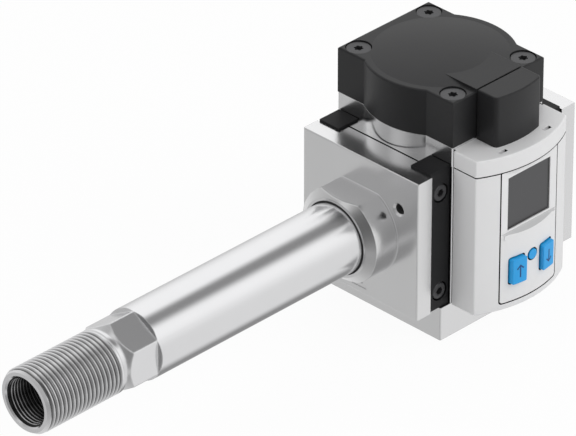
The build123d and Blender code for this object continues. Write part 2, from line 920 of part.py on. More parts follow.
def latch_pocket(side):
    """Shallow release pocket that deepens towards +X."""
    start = side * latch_across - latch_length / 2
    end = start + latch_length
    outline = Polyline((start, 0), (end, 0), (end, -latch_depth), (start, -latch_start_depth), close=True)
    wedge = extrude(make_face(outline), latch_width / 2, both=True)
    return Pos(0, housing_apex_y + latch_inset, cap_top_z) * Rot(90, 0, 0) * wedge


def housing_cap():
    """Cap over the display housing with a skirt that seats inside it."""
    cap = upright(housing_outline(), cap_z, cap_top_z)
    cap = fillet(cap.edges().filter_by(Axis.Z).group_by(Axis.Y)[0], housing_edge)
    top_edges = cap.faces().sort_by(Axis.Z)[-1].edges()
    front_edges = [edge for edge in top_edges if edge.center().Y < front_y - overlap]
    cap = fillet(front_edges, cap_edge)
    skirt_inset = housing_wall + cap_skirt_fit + cap_skirt_wall
    skirt_inner = housing_outline(skirt_inset, skirt_inset)
    cap -= upright(skirt_inner, cap_z, cap_top_z - housing_wall)
    skirt_outer = housing_outline(housing_wall + cap_skirt_fit, housing_back_wall + cap_skirt_fit)
    skirt = upright(skirt_outer - skirt_inner, cap_z - cap_skirt_height, cap_z)
    behind_panel = block(
        (-panel_half_width - panel_flange, panel_half_width + panel_flange),
        (housing_apex_y, display_board_front_y),
        (foot_height, cap_z),
    )
    cap += skirt - behind_panel
    cable_hole = (-cable_slot_half_width, cable_slot_half_width)
    hole_front = front_y - bridge_apex + 2 * bridge_wall
    cap -= block(cable_hole, (hole_front, front_y - bridge_gap - bridge_wall), (cap_z, cap_top_z))
    for side in (-1, 1):
        cap -= latch_pocket(side)
    return cap


def panel_skin(half_width, outer, thickness):
    """Curved sheet concentric with the housing front, given by its outer inset and thickness."""
    outside = bowed_face(half_width, panel_zone_y, housing_apex_y + outer, housing_bow_radius - outer)
    inner = outer + thickness
    apex, radius = housing_apex_y + inner, housing_bow_radius - inner
    return outside - bowed_face(half_width + overlap, panel_zone_y + overlap, apex, radius)


def front_panel():
    """Bowed panel with a flat window field that ends on a sloping sill, and openings for the buttons."""
    half_width = panel_half_width - panel_gap
    low = panel_z + panel_gap
    full = panel_skin(half_width + panel_flange, 0, panel_wall + panel_flange_thickness)
    around = upright(panel_skin(neck_half, -overlap, panel_wall + overlap), foot_height, cap_z)
    rounded = RectangleRounded(2 * half_width, 2 * (panel_top_z - low), panel_corner - panel_gap)
    around -= extrude(Pos(0, 0, panel_top_z) * Rot(90, 0, 0) * rounded, half + 2 * housing_apex)
    behind = panel_skin(half_width - panel_flange, panel_wall, panel_flange_thickness + overlap)
    panel = upright(full, low, panel_top_z) - around - upright(behind, low, panel_top_z)
    pad_low = sill_z - pad_margin
    pad_sides = (-window_half_width - pad_margin, window_half_width + pad_margin)
    panel += block(pad_sides, (window_y - overlap, pad_back_y), (pad_low, panel_top_z))
    panel -= window_field()
    panel -= window_plate(0, window_y - overlap, pad_back_y + overlap)
    for x in (-button_across, button_across):
        panel -= button_prism(button_width, button_height, x, button_z, button_clearance)
    panel -= rod_y(edit_radius + button_clearance, housing_apex_y - overlap, pad_back_y, 0, edit_z)
    return panel


def window_field():
    """Cutter for the flat field round the window, with the slope of its sill."""
    outline = Polyline(
        (window_y, sill_z),
        (window_y, panel_top_z + overlap),
        (window_y - sill_reach, panel_top_z + overlap),
        (window_y - sill_reach, sill_z - sill_reach * tan(radians(sill_slope))),
        close=True,
    )
    return extrude(Plane.YZ * make_face(outline), half, both=True)


# Display stack

def window_plate(margin, front, back):
    sides = (-window_half_width - margin, window_half_width + margin)
    return block(sides, (front, back), (window_z - margin, window_top_z + margin))


def display_window():
    """Tinted lens: a raised field in the window opening and an edge behind the panel."""
    edge = window_plate(lens_margin, pad_back_y + stack_gap, lens_back_y)
    return edge + window_plate(-lens_fit, window_y + lens_sink, lens_back_y)


def lcd_module():
    return window_plate(lens_margin, lcd_front_y, lcd_back_y)


def backlight_block():
    """Light guide that stands the display off its board."""
    guide = window_plate(lens_margin, light_front_y, display_board_front_y)
    return guide - window_plate(-lens_margin, light_front_y + lens_thickness, display_board_front_y)


def display_board():
    sides = (-display_board_half_width, display_board_half_width)
    levels = (foot_height + display_board_low, foot_height + display_board_high)
    board = block(sides, (display_board_front_y, display_board_back_y), levels)
    hole_radius = standoff_bolt_radius + screw_clearance
    for x, z in post_places():
        board -= rod_y(hole_radius, display_board_front_y, display_board_back_y, x, z)
    return board


def display_board_screws():
    depth = housing_inner_back_y - display_board_front_y
    screw = Rot(90, 0, 0) * board_screw(depth)
    return Compound(children=[Pos(x, display_board_front_y, z) * screw for x, z in post_places()])


def housing_screws():
    screw = Rot(90, 0, 0) * m3_screw(housing_back_wall + housing_screw_length - screw_end_gap)
    return Compound(children=[Pos(x, housing_inner_back_y, z) * screw for x, z in housing_screw_places()])


# Buttons

def button_prism(width, height, x, z, grow=0.0):
    """Straight rounded bar along Y for a button, or the opening for it."""
    outline = RectangleRounded(width + 2 * grow, height + 2 * grow, button_edge + grow)
    length = button_stem_y - housing_apex_y + button_proud + overlap
    return extrude(Pos(x, button_stem_y, z) * Rot(90, 0, 0) * outline, length)


def proud_body(proud):
    """Everything behind the bowed surface that lies a given height in front of the panel."""
    outline = bowed_face(neck_half, button_stem_y, housing_apex_y - proud, housing_bow_radius + proud)
    return upright(outline, foot_height, sill_z)


def flange_layer():
    """Curved layer just behind the panel's inner face."""
    return upright(
        panel_skin(neck_half, panel_wall + button_flange_gap, button_flange_thickness),
        foot_height,
        sill_z,
    )


def press_button(x):
    """Rectangular key with a retaining flange behind the panel and a stem to its switch."""
    key = button_prism(button_width, button_height, x, button_z) & proud_body(button_proud)
    key = fillet(key.faces().sort_by(Axis.Y)[0].edges(), button_front_edge)
    flange = button_prism(button_width + 2 * button_flange, button_height + 2 * button_flange, x, button_z)
    key -= upright(bowed_face(neck_half, button_stem_y, *behind_layer()), foot_height, sill_z)
    stem_limits = (button_stem_y - button_stem_length, button_stem_y)
    half_stem = button_stem / 2
    stem = block((x - half_stem, x + half_stem), stem_limits, (button_z - half_stem, button_z + half_stem))
    return key + (flange & flange_layer()) + stem


def behind_layer():
    """Apex and radius of the surface at the back of the buttons' flanges."""
    inset = panel_wall + button_flange_gap + button_flange_thickness
    return housing_apex_y + inset, housing_bow_radius - inset


def edit_button():
    """Small round key, nearly flush with the panel."""
    front = housing_apex_y - overlap
    key = rod_y(edit_radius, front, button_stem_y, 0, edit_z) & proud_body(edit_proud)
    key -= upright(bowed_face(neck_half, button_stem_y, *behind_layer()), foot_height, sill_z)
    flange = rod_y(edit_radius + edit_flange, front, button_stem_y, 0, edit_z) & flange_layer()
    stem = rod_y(edit_stem_radius, button_stem_y - button_stem_length, button_stem_y, 0, edit_z)
    return key + flange + stem


def tact_switches():
    """Push switches on the display board, one behind each button."""
    switches = []
    case_y = display_board_front_y - switch_height
    half_size = switch_size / 2
    for x, z in ((-button_across, button_z), (button_across, button_z), (0, edit_z)):
        sides, levels = (x - half_size, x + half_size), (z - half_size, z + half_size)
        case = block(sides, (case_y, display_board_front_y), levels)
        switches.append(case + rod_y(switch_plunger_radius, switch_front_y, case_y, x, z))
    return Compound(children=switches)


# Ribbon cable

def ribbon_cable():
    """Flat cable from the main board through the bridge to the display board."""
    top = board_z + board_thickness
    drop_y = display_board_back_y + ribbon_thickness
    turn = cable_mid_z
    path = FilletPolyline(
        (-ribbon_start, top),
        (-ribbon_start, turn),
        (drop_y, turn),
        (drop_y, cap_z - ribbon_end_drop),
        radius=ribbon_bend,
    )
    band = trace(path, ribbon_thickness)
    return extrude(Plane.YZ * band, ribbon_width / 2, both=True)


# Rear connector

def connector_shell():
    """Threaded plug shell with a hexagon flange, screwed into the block's rear."""
    flange_y = half + connector_flange_thickness
    shell = Pos(0, flange_y, connector_z) * Rot(90, 0, 0)
    shell = shell * hex_prism(connector_flange_size, connector_flange_thickness)
    shell += rod_y(connector_thread_radius, flange_y, connector_mouth_y, 0, connector_z)
    shell = chamfer(shell.faces().sort_by(Axis.Y)[-1].edges(), edge_break)
    shell += rod_y(connector_tail_radius, half - insert_length, half, 0, connector_z)
    return shell - rod_y(connector_bore_radius, half - insert_length, connector_mouth_y, 0, connector_z)


def pin_places():
    """Four pins on a circle and one in the middle, as (x, z) places."""
    angles = [radians(pin_start_angle + 360 / pin_count * count) for count in range(pin_count)]
    return [(pin_circle_radius * cos(angle), pin_circle_radius * sin(angle)) for angle in angles] + [(0, 0)]


def connector_insert():
    """Insulating insert with a coding key, set back in the shell."""
    floor_y = connector_mouth_y - connector_bore_depth
    insert = rod_y(connector_bore_radius - connector_fit, half - insert_length, floor_y, 0, connector_z)
    key_z = connector_z + connector_bore_radius - connector_fit
    key_limits = (floor_y - overlap, connector_mouth_y - key_setback)
    insert += block((-key_width / 2, key_width / 2), key_limits, (key_z - key_width, key_z - key_gap))
    for x, z in pin_places():
        insert -= rod_y(pin_radius, half - insert_length, floor_y, x, connector_z + z)
    return insert


def connector_pins():
    start = half - insert_length - pin_tail
    pins = []
    for x, z in pin_places():
        pin = rod_y(pin_radius, start, start + insert_length + pin_length, x, connector_z + z)
        pins.append(pin)
    return Compound(children=pins)


def connector_seal():
    outer = connector_seal_radius + connector_seal_section
    low, high = half - connector_seal_section, half
    ring = rod_y(outer, low, high, 0, connector_z)
    return ring - rod_y(connector_tail_radius + connector_fit, low, high, 0, connector_z)


write("main_body", main_body())
write("inlet_plate", inlet_plate())
write("outlet_plate", outlet_plate())
write("inlet_joint_seal", joint_seal(-half, -1))
write("outlet_joint_seal", joint_seal(half, 1))
write("inlet_tube", inlet_tube())
write("tube_seal_ring", tube_seal_ring())
write("flow_straightener", flow_straightener())
write("flow_screens", flow_screens())
write("retaining_clip", retaining_clip())
write("inlet_front_clamp", joint_clamp(-half, -1))
write("inlet_rear_clamp", joint_clamp(-half, 1))
write("outlet_front_clamp", joint_clamp(half, -1))
write("outlet_rear_clamp", joint_clamp(half, 1))
write("clamp_screws", clamp_screws())
write("sensor_holder", sensor_holder())
write("sensor_element", sensor_element())
write("sensor_leads", sensor_leads())
write("holder_seal", holder_seal())
write("holder_screws", holder_screws())
write("board_standoffs", board_standoffs())
write("main_board", main_board())
write("board_screws", board_screws())
write("cover_seal", cover_seal())
write("top_cover", top_cover())
write("cover_screws", cover_screws())
write("cable_bridge", cable_bridge())
write("display_housing", display_housing())
write("housing_cap", housing_cap())
write("front_panel", front_panel())
write("display_window", display_window())
write("lcd_module", lcd_module())
write("backlight_block", backlight_block())
write("display_board", display_board())
write("display_board_screws", display_board_screws())
write("housing_screws", housing_screws())
write("up_button", press_button(-button_across))
write("down_button", press_button(button_across))
write("edit_button", edit_button())
write("tact_switches", tact_switches())
write("ribbon_cable", ribbon_cable())
write("connector_shell", connector_shell())
write("connector_insert", connector_insert())
write("connector_pins", connector_pins())
write("connector_seal", connector_seal())
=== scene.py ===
from math import ceil, cos, hypot, pi, radians, sin, sqrt

import bmesh
import bpy
from mathutils import Matrix, Vector


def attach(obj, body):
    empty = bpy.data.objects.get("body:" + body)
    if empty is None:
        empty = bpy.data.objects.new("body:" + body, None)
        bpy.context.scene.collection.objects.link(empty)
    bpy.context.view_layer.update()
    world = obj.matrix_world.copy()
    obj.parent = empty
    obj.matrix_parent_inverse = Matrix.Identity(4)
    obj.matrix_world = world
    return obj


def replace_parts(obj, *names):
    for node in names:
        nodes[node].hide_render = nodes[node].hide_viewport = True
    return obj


# Looks of a modular flow sensor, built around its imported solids.
# The frame is the solids' own: metres, X along the flow, display towards -Y, Z up, origin under the foot.

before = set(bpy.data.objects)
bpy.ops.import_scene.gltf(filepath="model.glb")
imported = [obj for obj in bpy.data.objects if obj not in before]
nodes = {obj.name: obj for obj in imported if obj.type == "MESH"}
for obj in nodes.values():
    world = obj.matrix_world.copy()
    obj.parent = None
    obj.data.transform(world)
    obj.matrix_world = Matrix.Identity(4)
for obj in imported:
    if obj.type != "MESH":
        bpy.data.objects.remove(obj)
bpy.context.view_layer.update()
MM = 0.001
MICRON = 0.000001

# Flow axis and tube, in millimetres
AXIS_Z = 45.8
TUBE_TIP = -223.5
TUBE_SPLIT = -182.3
HEXAGON_START = -181.95
HEXAGON_STOP = -166.1
THREAD_STOP_X = -183.5
THREAD_CUT_X = -182.7
THREAD_MAJOR = 13.5
THREAD_TIP_RADIUS = 12.25
LEAD_IN = 1.8
NECK_RADIUS = 12.1
MALE_PITCH = 2.06
MALE_DEPTH = 1.0
PORT_PITCH = 1.53
PORT_GROOVE = 0.8
PORT_MINOR = 9.32
PORT_MOUTH = 10.8
PORT_DEPTH = 18.0
BORE_RADIUS = 8.5

# Block, plates and display housing, in millimetres: half widths, distances from the middle and heights
HALF = 31.0
PLATE_FACE = 44.5
NECK_HALF = 25.5
NECK_SIDE = 25.3
FOOT_Z = 14.8
LEDGE_Z = 76.8
CAP_Z = 77.2
CAP_TOP_Z = 84.3

# Bowed front and its buttons, in millimetres
BOW_CENTRE_Y = -0.5
BOW_RADIUS = 50.0
BUTTON_FACE_RADIUS = 52.0
BUTTON_X = 8.1
BUTTON_Z = 31.3

# Body that everything but the buttons rides on, and slack when a corner is tested against a plane
BODY = "housing"
TOUCH = 0.02

# Camera: place in metres, direction and lens
CAMERA_EYE = (-1.59979, -1.50561, 1.37368)
CAMERA_AZIMUTH = radians(-45.189)
CAMERA_ELEVATION = radians(31.471)
CAMERA_LENS = 407.9


# Materials

def node_of(tree, kind, **values):
    made = tree.nodes.new(kind)
    for name, value in values.items():
        setattr(made, name, value)
    return made


def grey_range(tree, source, low, high):
    """Map a 0 to 1 value to a range."""
    span = node_of(tree, "ShaderNodeMapRange")
    span.inputs["To Min"].default_value = low
    span.inputs["To Max"].default_value = high
    tree.links.new(source, span.inputs["Value"])
    return span.outputs["Result"]


def smooth_range(tree, source, from_low, from_high, to_low, to_high):
    """Map a range to another one, level at both ends and past them."""
    span = node_of(tree, "ShaderNodeMapRange", interpolation_type="SMOOTHSTEP")
    for name, value in (("From Min", from_low), ("From Max", from_high), ("To Min", to_low), ("To Max", to_high)):
        span.inputs[name].default_value = value
    tree.links.new(source, span.inputs["Value"])
    return span.outputs["Result"]


def maths(tree, operation, first, second=0.0):
    """One step of arithmetic on two values, each a socket or a number."""
    made = node_of(tree, "ShaderNodeMath", operation=operation)
    for slot, value in zip(made.inputs, (first, second)):
        if isinstance(value, float):
            slot.default_value = value
        else:
            tree.links.new(value, slot)
    return made.outputs["Value"]


def place_parts(tree):
    """X, Y and Z of a place in the frame, in metres."""
    parts = node_of(tree, "ShaderNodeSeparateXYZ")
    tree.links.new(node_of(tree, "ShaderNodeTexCoord").outputs["Object"], parts.inputs["Vector"])
    return parts.outputs


def axis_distance(tree):
    """Distance from the flow axis, in metres."""
    moved = node_of(tree, "ShaderNodeVectorMath", operation="SUBTRACT")
    moved.inputs[1].default_value = (0, 0, AXIS_Z * MM)
    tree.links.new(node_of(tree, "ShaderNodeTexCoord").outputs["Object"], moved.inputs[0])
    across = node_of(tree, "ShaderNodeVectorMath", operation="MULTIPLY")
    across.inputs[1].default_value = (0, 1, 1)
    tree.links.new(moved.outputs["Vector"], across.inputs[0])
    length = node_of(tree, "ShaderNodeVectorMath", operation="LENGTH")
    tree.links.new(across.outputs["Vector"], length.inputs[0])
    return length.outputs["Value"]


def noise(tree, coords, scale, detail=2.0, stretch=None):
    """Noise over the frame's own coordinates, optionally drawn out along an axis."""
    source = coords
    if stretch:
        mapping = node_of(tree, "ShaderNodeMapping")
        mapping.inputs["Scale"].default_value = stretch
        tree.links.new(coords, mapping.inputs["Vector"])
        source = mapping.outputs["Vector"]
    texture = node_of(tree, "ShaderNodeTexNoise")
    texture.inputs["Scale"].default_value = scale
    texture.inputs["Detail"].default_value = detail
    tree.links.new(source, texture.inputs["Vector"])
    return texture.outputs["Fac"]


def finish(name, color, rough, metallic=0.0, grain=3000.0, grain_height=4, stretch=None, tone=0.03,
           polish=0.05, edge=0.3, edge_highlight=0.0, specular=0.5):
    """Surface with fine grain in its bump, slow changes of tone, varied gloss and softened edges.

    The height of the grain is in micrometres and the radius of the softened edges in millimetres.
    """
    made = bpy.data.materials.new(name)
    made.use_nodes = True
    tree = made.node_tree
    shader = tree.nodes["Principled BSDF"]
    shader.inputs["Metallic"].default_value = metallic
    shader.inputs["Specular IOR Level"].default_value = specular
    coords = node_of(tree, "ShaderNodeTexCoord").outputs["Object"]
    fine = noise(tree, coords, grain, 3.0, stretch)
    slow = noise(tree, coords, 70.0)

    mix = node_of(tree, "ShaderNodeMix", data_type="RGBA")
    dark = [channel * (1 - tone) for channel in color]
    light = [min(1.0, channel * (1 + tone)) for channel in color]
    mix.inputs["A"].default_value = (*dark, 1)
    mix.inputs["B"].default_value = (*light, 1)
    tree.links.new(slow, mix.inputs["Factor"])
    base = mix.outputs["Result"]

    rounded = node_of(tree, "ShaderNodeBevel" if edge else "ShaderNodeNewGeometry")
    if edge:
        rounded.samples = 4
        rounded.inputs["Radius"].default_value = edge * MM
    # Painted highlight: a lighter colour mixed in along the edges, as strong as the share given
    if edge_highlight:
        shape = node_of(tree, "ShaderNodeNewGeometry")
        dot = node_of(tree, "ShaderNodeVectorMath", operation="DOT_PRODUCT")
        tree.links.new(rounded.outputs["Normal"], dot.inputs[0])
        tree.links.new(shape.outputs["Normal"], dot.inputs[1])
        mask = node_of(tree, "ShaderNodeMapRange")
        mask.inputs["From Min"].default_value = 1.0
        mask.inputs["From Max"].default_value = 0.75
        mask.inputs["To Max"].default_value = edge_highlight
        tree.links.new(dot.outputs["Value"], mask.inputs["Value"])
        edges = node_of(tree, "ShaderNodeMix", data_type="RGBA")
        edges.inputs["B"].default_value = (*[min(1.0, 0.25 + 1.6 * channel) for channel in color], 1)
        tree.links.new(base, edges.inputs["A"])
        tree.links.new(mask.outputs["Result"], edges.inputs["Factor"])
        base = edges.outputs["Result"]
    tree.links.new(base, shader.inputs["Base Color"])

    tree.links.new(grey_range(tree, fine, rough - polish, rough + polish), shader.inputs["Roughness"])
    bump = node_of(tree, "ShaderNodeBump")
    bump.inputs["Strength"].default_value = 1.0
    bump.inputs["Distance"].default_value = grain_height * MICRON
    tree.links.new(fine, bump.inputs["Height"])
    tree.links.new(rounded.outputs["Normal"], bump.inputs["Normal"])
    tree.links.new(bump.outputs["Normal"], shader.inputs["Normal"])
    return made


def turned_finish(name, edge):
    """Metal with fine turning marks round the flow axis."""
    return finish(name, (0.80, 0.80, 0.81), 0.19, metallic=1.0, grain=1500, grain_height=2.2,
                  stretch=(4.0, 0.04, 0.04), tone=0.015, polish=0.04, edge=edge)


# Finishes seen from outside

blasted = finish("blasted_aluminium", (0.79, 0.79, 0.795), 0.21, metallic=1.0, grain=5200, grain_height=1.2,
                 tone=0.02, polish=0.03, edge=0.3)
turned = turned_finish("turned_aluminium", 0.4)
hex_metal = turned_finish("hexagon_aluminium", 0.9)
thread_metal = finish("threaded_aluminium", (0.76, 0.76, 0.77), 0.17, metallic=1.0, grain=2600,
                      grain_height=0.8, stretch=(2.0, 0.1, 0.1), tone=0.03, polish=0.03, edge=0)
# Clamps, screws and cover carry a painted highlight along their edges
clamp_paint = finish("clamp_black", (0.013, 0.013, 0.014), 0.50, grain=4200, grain_height=4, tone=0.08,
                     polish=0.05, edge=0.35, edge_highlight=0.05, specular=0.18)
screw_black = finish("screw_black", (0.075, 0.075, 0.078), 0.34, metallic=0.6, grain=3000, grain_height=3,
                     tone=0.08, polish=0.06, edge=0.2, edge_highlight=0.12)
cover_black = finish("cover_black", (0.017, 0.017, 0.018), 0.44, grain=3600, grain_height=7, tone=0.06,
                     polish=0.05, edge=0.4, edge_highlight=0.03, specular=0.35)
housing_grey = finish("housing_grey", (0.78, 0.78, 0.785), 0.40, grain=4000, grain_height=3, tone=0.01,
                      polish=0.04, edge=0.3)
panel_grey = finish("panel_grey", (0.80, 0.80, 0.805), 0.36, grain=4400, grain_height=2.5, tone=0.01,
                    polish=0.04, edge=0.15)
button_blue = finish("button_blue", (0.012, 0.36, 0.80), 0.38, grain=4200, grain_height=3, tone=0.03,
                     polish=0.04, edge=0.3)
arrow_blue = finish("arrow_blue", (0.006, 0.055, 0.20), 0.45, grain=4200, grain_height=2, tone=0.03,
                    polish=0.04, edge=0.05)
lens_tint = finish("tinted_lens", (0.072, 0.072, 0.075), 0.30, grain=3000, grain_height=0.8, tone=0.02,
                   polish=0.03, edge=0.1, specular=0.35)
plated_brass = finish("plated_brass", (0.70, 0.70, 0.68), 0.24, metallic=1.0, grain=3200, grain_height=1.5,
                      tone=0.04, edge=0.2)

# Finishes of seals, boards and other inner pieces

rubber = finish("seal_rubber", (0.014, 0.014, 0.014), 0.62, grain=2600, grain_height=6, tone=0.1)
board_green = finish("board_green", (0.03, 0.19, 0.09), 0.38, grain=1800, grain_height=4, tone=0.15)
switch_dark = finish("switch_dark", (0.05, 0.05, 0.05), 0.5, grain=2500, tone=0.05)
lcd_glass = finish("lcd_glass", (0.25, 0.28, 0.26), 0.15, grain=2500, grain_height=1, tone=0.03)
light_guide = finish("light_guide", (0.85, 0.85, 0.83), 0.35, grain=2500, tone=0.02)
holder_cream = finish("holder_plastic", (0.80, 0.76, 0.62), 0.45, grain=2500, tone=0.03)
ceramic = finish("element_ceramic", (0.85, 0.84, 0.80), 0.3, grain=2500, tone=0.03)
spring_steel = finish("spring_steel", (0.55, 0.55, 0.56), 0.28, metallic=1.0, grain=2500, tone=0.04)
zinc_steel = finish("zinc_steel", (0.60, 0.60, 0.62), 0.32, metallic=1.0, grain=2500, tone=0.05)
ribbon_grey = finish("ribbon_grey", (0.75, 0.75, 0.76), 0.45, grain=900, grain_height=10,
                     stretch=(3.0, 0.1, 0.1), tone=0.05)
contact_gold = finish("contact_gold", (0.83, 0.62, 0.25), 0.22, metallic=1.0, grain=2500, tone=0.05)
insert_black = finish("insert_black", (0.03, 0.03, 0.03), 0.5, grain=3000, tone=0.06)

# Finishes of single faces: holes, threads, edges and gaps, most of them lighter or darker copies that paint light or
# shade

hole_shade = finish("hole_shade", (0.16, 0.16, 0.16), 0.45, metallic=0.6, grain=3000, tone=0.05)
# Painted shade: a darker copy of the thread metal for the inside of the port
port_metal = finish("port_aluminium", (0.62, 0.62, 0.63), 0.26, metallic=1.0, grain=2600, grain_height=0.8,
                    tone=0.03, polish=0.03, edge=0)
# Painted highlight and shade: a lighter copy of the thread metal for the male thread, darkened towards its roots
ridge_metal = finish("ridged_aluminium", (0.84, 0.84, 0.85), 0.19, metallic=1.0, grain=2600, grain_height=0.8,
                     tone=0.03, polish=0.03, edge=0)
# Painted light: a duller copy of the block's metal, so the narrow strip beside the clamps stays light
corner_metal = finish("corner_aluminium", (0.40, 0.40, 0.405), 0.45, metallic=0.35, grain=3000,
                      grain_height=0.8, tone=0.02, edge=0)
# Painted shade: a darker copy of the panel grey for the sill under the window
sill_grey = finish("sill_grey", (0.60, 0.60, 0.605), 0.38, grain=4400, grain_height=2.5, tone=0.01,
                   polish=0.04, edge=0.15)
# Painted shade: near black for the walls of gaps, grooves and joints, where shade falls
gap_dark = finish("gap_dark", (0.006, 0.006, 0.006), 0.75, grain=2600, grain_height=4, tone=0.1,
                  edge=0, specular=0.1)
# Painted highlight: a lighter copy of the block's metal for the boss's bead and the broken corners
bead_metal = finish("bead_metal", (0.86, 0.86, 0.87), 0.22, metallic=1.0, grain=3000, grain_height=0.8,
                    tone=0.02, polish=0.03, edge=0)
pocket_shade = finish("pocket_shade", (0.60, 0.60, 0.605), 0.5, grain=3600, grain_height=3, tone=0.03,
                      edge=0.1)


# Paints shade into a material's colour
def darken(material, factors, dark):
    """Mix a material's colour towards a dark tone by the largest of some factors from 0 to 1."""
    tree = material.node_tree
    target = tree.nodes["Principled BSDF"].inputs["Base Color"]
    base = target.links[0].from_socket
    total = factors[0]
    for factor in factors[1:]:
        total = maths(tree, "MAXIMUM", total, factor)
    mix = node_of(tree, "ShaderNodeMix", data_type="RGBA")
    mix.inputs["B"].default_value = (dark, dark, dark, 1)
    tree.links.new(base, mix.inputs["A"])
    tree.links.new(total, mix.inputs["Factor"])
    tree.links.new(mix.outputs["Result"], target)


# Painted shade begins and ends at these depths below the male crests, into the port's grooves and along the port,
# and at these places on the sunk lens, in millimetres
ROOT_SHADE = (0.95, 0.25)
GROOVE_SHADE = (0.04, 0.43)
PORT_SHADE = (1.0, 9.5)
LENS_SIDE_SHADE = (10.2, 11.7)
LENS_FOOT_SHADE = (51.5, 49.9)


def shade_roots():
    tree = ridge_metal.node_tree
    low, high = [(THREAD_MAJOR - depth) * MM for depth in ROOT_SHADE]
    darken(ridge_metal, [smooth_range(tree, axis_distance(tree), low, high, 0.92, 0.0)], 0.10)


def shade_port():
    tree = port_metal.node_tree
    low, high = [(PORT_MINOR + depth) * MM for depth in GROOVE_SHADE]
    near, far = [(TUBE_TIP + depth) * MM for depth in PORT_SHADE]
    darken(port_metal, [smooth_range(tree, axis_distance(tree), low, high, 0.0, 0.97),
                        smooth_range(tree, place_parts(tree)["X"], near, far, 0.0, 0.9)], 0.012)


def shade_lens():
    tree = lens_tint.node_tree
    parts = place_parts(tree)
    factors = []
    for axis, ends in (("X", LENS_SIDE_SHADE), ("Z", LENS_FOOT_SHADE)):
        factors.append(smooth_range(tree, parts[axis], ends[0] * MM, ends[1] * MM, 0.0, 0.85))
    darken(lens_tint, factors, 0.012)


shade_roots()
shade_port()
shade_lens()


# What each node is made of

NODE_FINISH = {
    "main_body": blasted, "inlet_plate": blasted, "outlet_plate": blasted, "inlet_tube": turned,
    "inlet_joint_seal": rubber, "outlet_joint_seal": rubber, "tube_seal_ring": rubber, "holder_seal": rubber,
    "cover_seal": rubber, "connector_seal": rubber, "flow_straightener": holder_cream, "flow_screens": spring_steel,
    "retaining_clip": spring_steel, "inlet_front_clamp": clamp_paint, "inlet_rear_clamp": clamp_paint,
    "outlet_front_clamp": clamp_paint, "outlet_rear_clamp": clamp_paint, "clamp_screws": screw_black,
    "sensor_holder": holder_cream, "sensor_element": ceramic, "sensor_leads": contact_gold,
    "holder_screws": zinc_steel, "board_standoffs": zinc_steel, "main_board": board_green,
    "board_screws": zinc_steel, "top_cover": cover_black, "cover_screws": screw_black, "cable_bridge": cover_black,
    "display_housing": housing_grey, "housing_cap": housing_grey, "front_panel": panel_grey,
    "display_window": lens_tint, "lcd_module": lcd_glass, "backlight_block": light_guide,
    "display_board": board_green, "display_board_screws": zinc_steel, "housing_screws": zinc_steel,
    "up_button": button_blue, "down_button": button_blue, "edit_button": button_blue,
    "tact_switches": switch_dark, "ribbon_cable": ribbon_grey, "connector_shell": plated_brass,
    "connector_insert": insert_black, "connector_pins": contact_gold,
}


def dress(piece, *materials):
    """Give a piece its materials; every face starts with the first."""
    piece.data.materials.clear()
    for material in materials:
        piece.data.materials.append(material)
    return piece


def corners_mm(piece, face):
    return [piece.data.vertices[index].co / MM for index in face.vertices]


def tint(piece, number, inside, facing=None):
    """Give the faces whose corners all pass a test, in millimetres, the material of that number."""
    for face in piece.data.polygons:
        if facing and not facing(face.normal):
            continue
        if all(inside(*corner) for corner in corners_mm(piece, face)):
            face.material_index = number


def place(piece, body):
    """Hang a finished piece on a body."""
    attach(piece, body)
    return piece


def seat(piece, body, node):
    """Let a finished piece stand for a node."""
    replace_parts(place(piece, body), node)


for node_name, node_finish in NODE_FINISH.items():
    dress(nodes[node_name], node_finish)


# Mesh helpers

def edit_mesh(piece, change):
    """Run a change on a piece's mesh in edit form and write it back."""
    shape = bmesh.new()
    shape.from_mesh(piece.data)
    change(shape)
    shape.to_mesh(piece.data)
    shape.free()


def turn_outwards(shape):
    bmesh.ops.recalc_face_normals(shape, faces=shape.faces)


def crease(piece, angle):
    """Smooth shading, with the creases above an angle kept sharp."""
    piece.data.shade_smooth()
    piece.data.set_sharp_from_angle(angle=radians(angle))


def new_piece(name, verts, faces, material, angle=30.0):
    """Closed mesh object from points in millimetres."""
    data = bpy.data.meshes.new(name)
    data.from_pydata([(x * MM, y * MM, z * MM) for x, y, z in verts], [], faces)
    data.validate()
    piece = bpy.data.objects.new(name, data)
    bpy.context.scene.collection.objects.link(piece)
    edit_mesh(piece, turn_outwards)
    crease(piece, angle)
    return dress(piece, material)


def clean_copy(node, name):
    """Copy of a node's mesh with its split corners welded."""
    piece = bpy.data.objects.new(name, nodes[node].data.copy())
    bpy.context.scene.collection.objects.link(piece)
    edit_mesh(piece, lambda shape: bmesh.ops.remove_doubles(shape, verts=shape.verts, dist=2 * MICRON))
    if "custom_normal" in piece.data.attributes:
        piece.data.attributes.remove(piece.data.attributes["custom_normal"])
    return piece


def settle(piece):
    """Make what a piece's modifiers do its own mesh."""
    bpy.context.view_layer.update()
    result = bpy.data.meshes.new_from_object(piece.evaluated_get(bpy.context.evaluated_depsgraph_get()))
    piece.modifiers.clear()
    piece.data = result


def smooth_by_angle(piece, angle=28.0):
    """Smooth shading that keeps creases sharp and flat faces flat."""
    crease(piece, angle)
    modifier = piece.modifiers.new("flat_faces", "WEIGHTED_NORMAL")
    modifier.keep_sharp = True
    modifier.weight = 80
    settle(piece)


def carve(piece, cutter, tone=0):
    """Cut one closed mesh out of another for good.

    The cut takes the piece's material of that number. For 0 it takes the cutter's own where the piece has it too.
    """
    for face in cutter.data.polygons:
        face.material_index = tone
    modifier = piece.modifiers.new("cut", "BOOLEAN")
    modifier.operation = "DIFFERENCE"
    modifier.solver = "EXACT"
    modifier.object = cutter
    settle(piece)
    bpy.data.objects.remove(cutter)


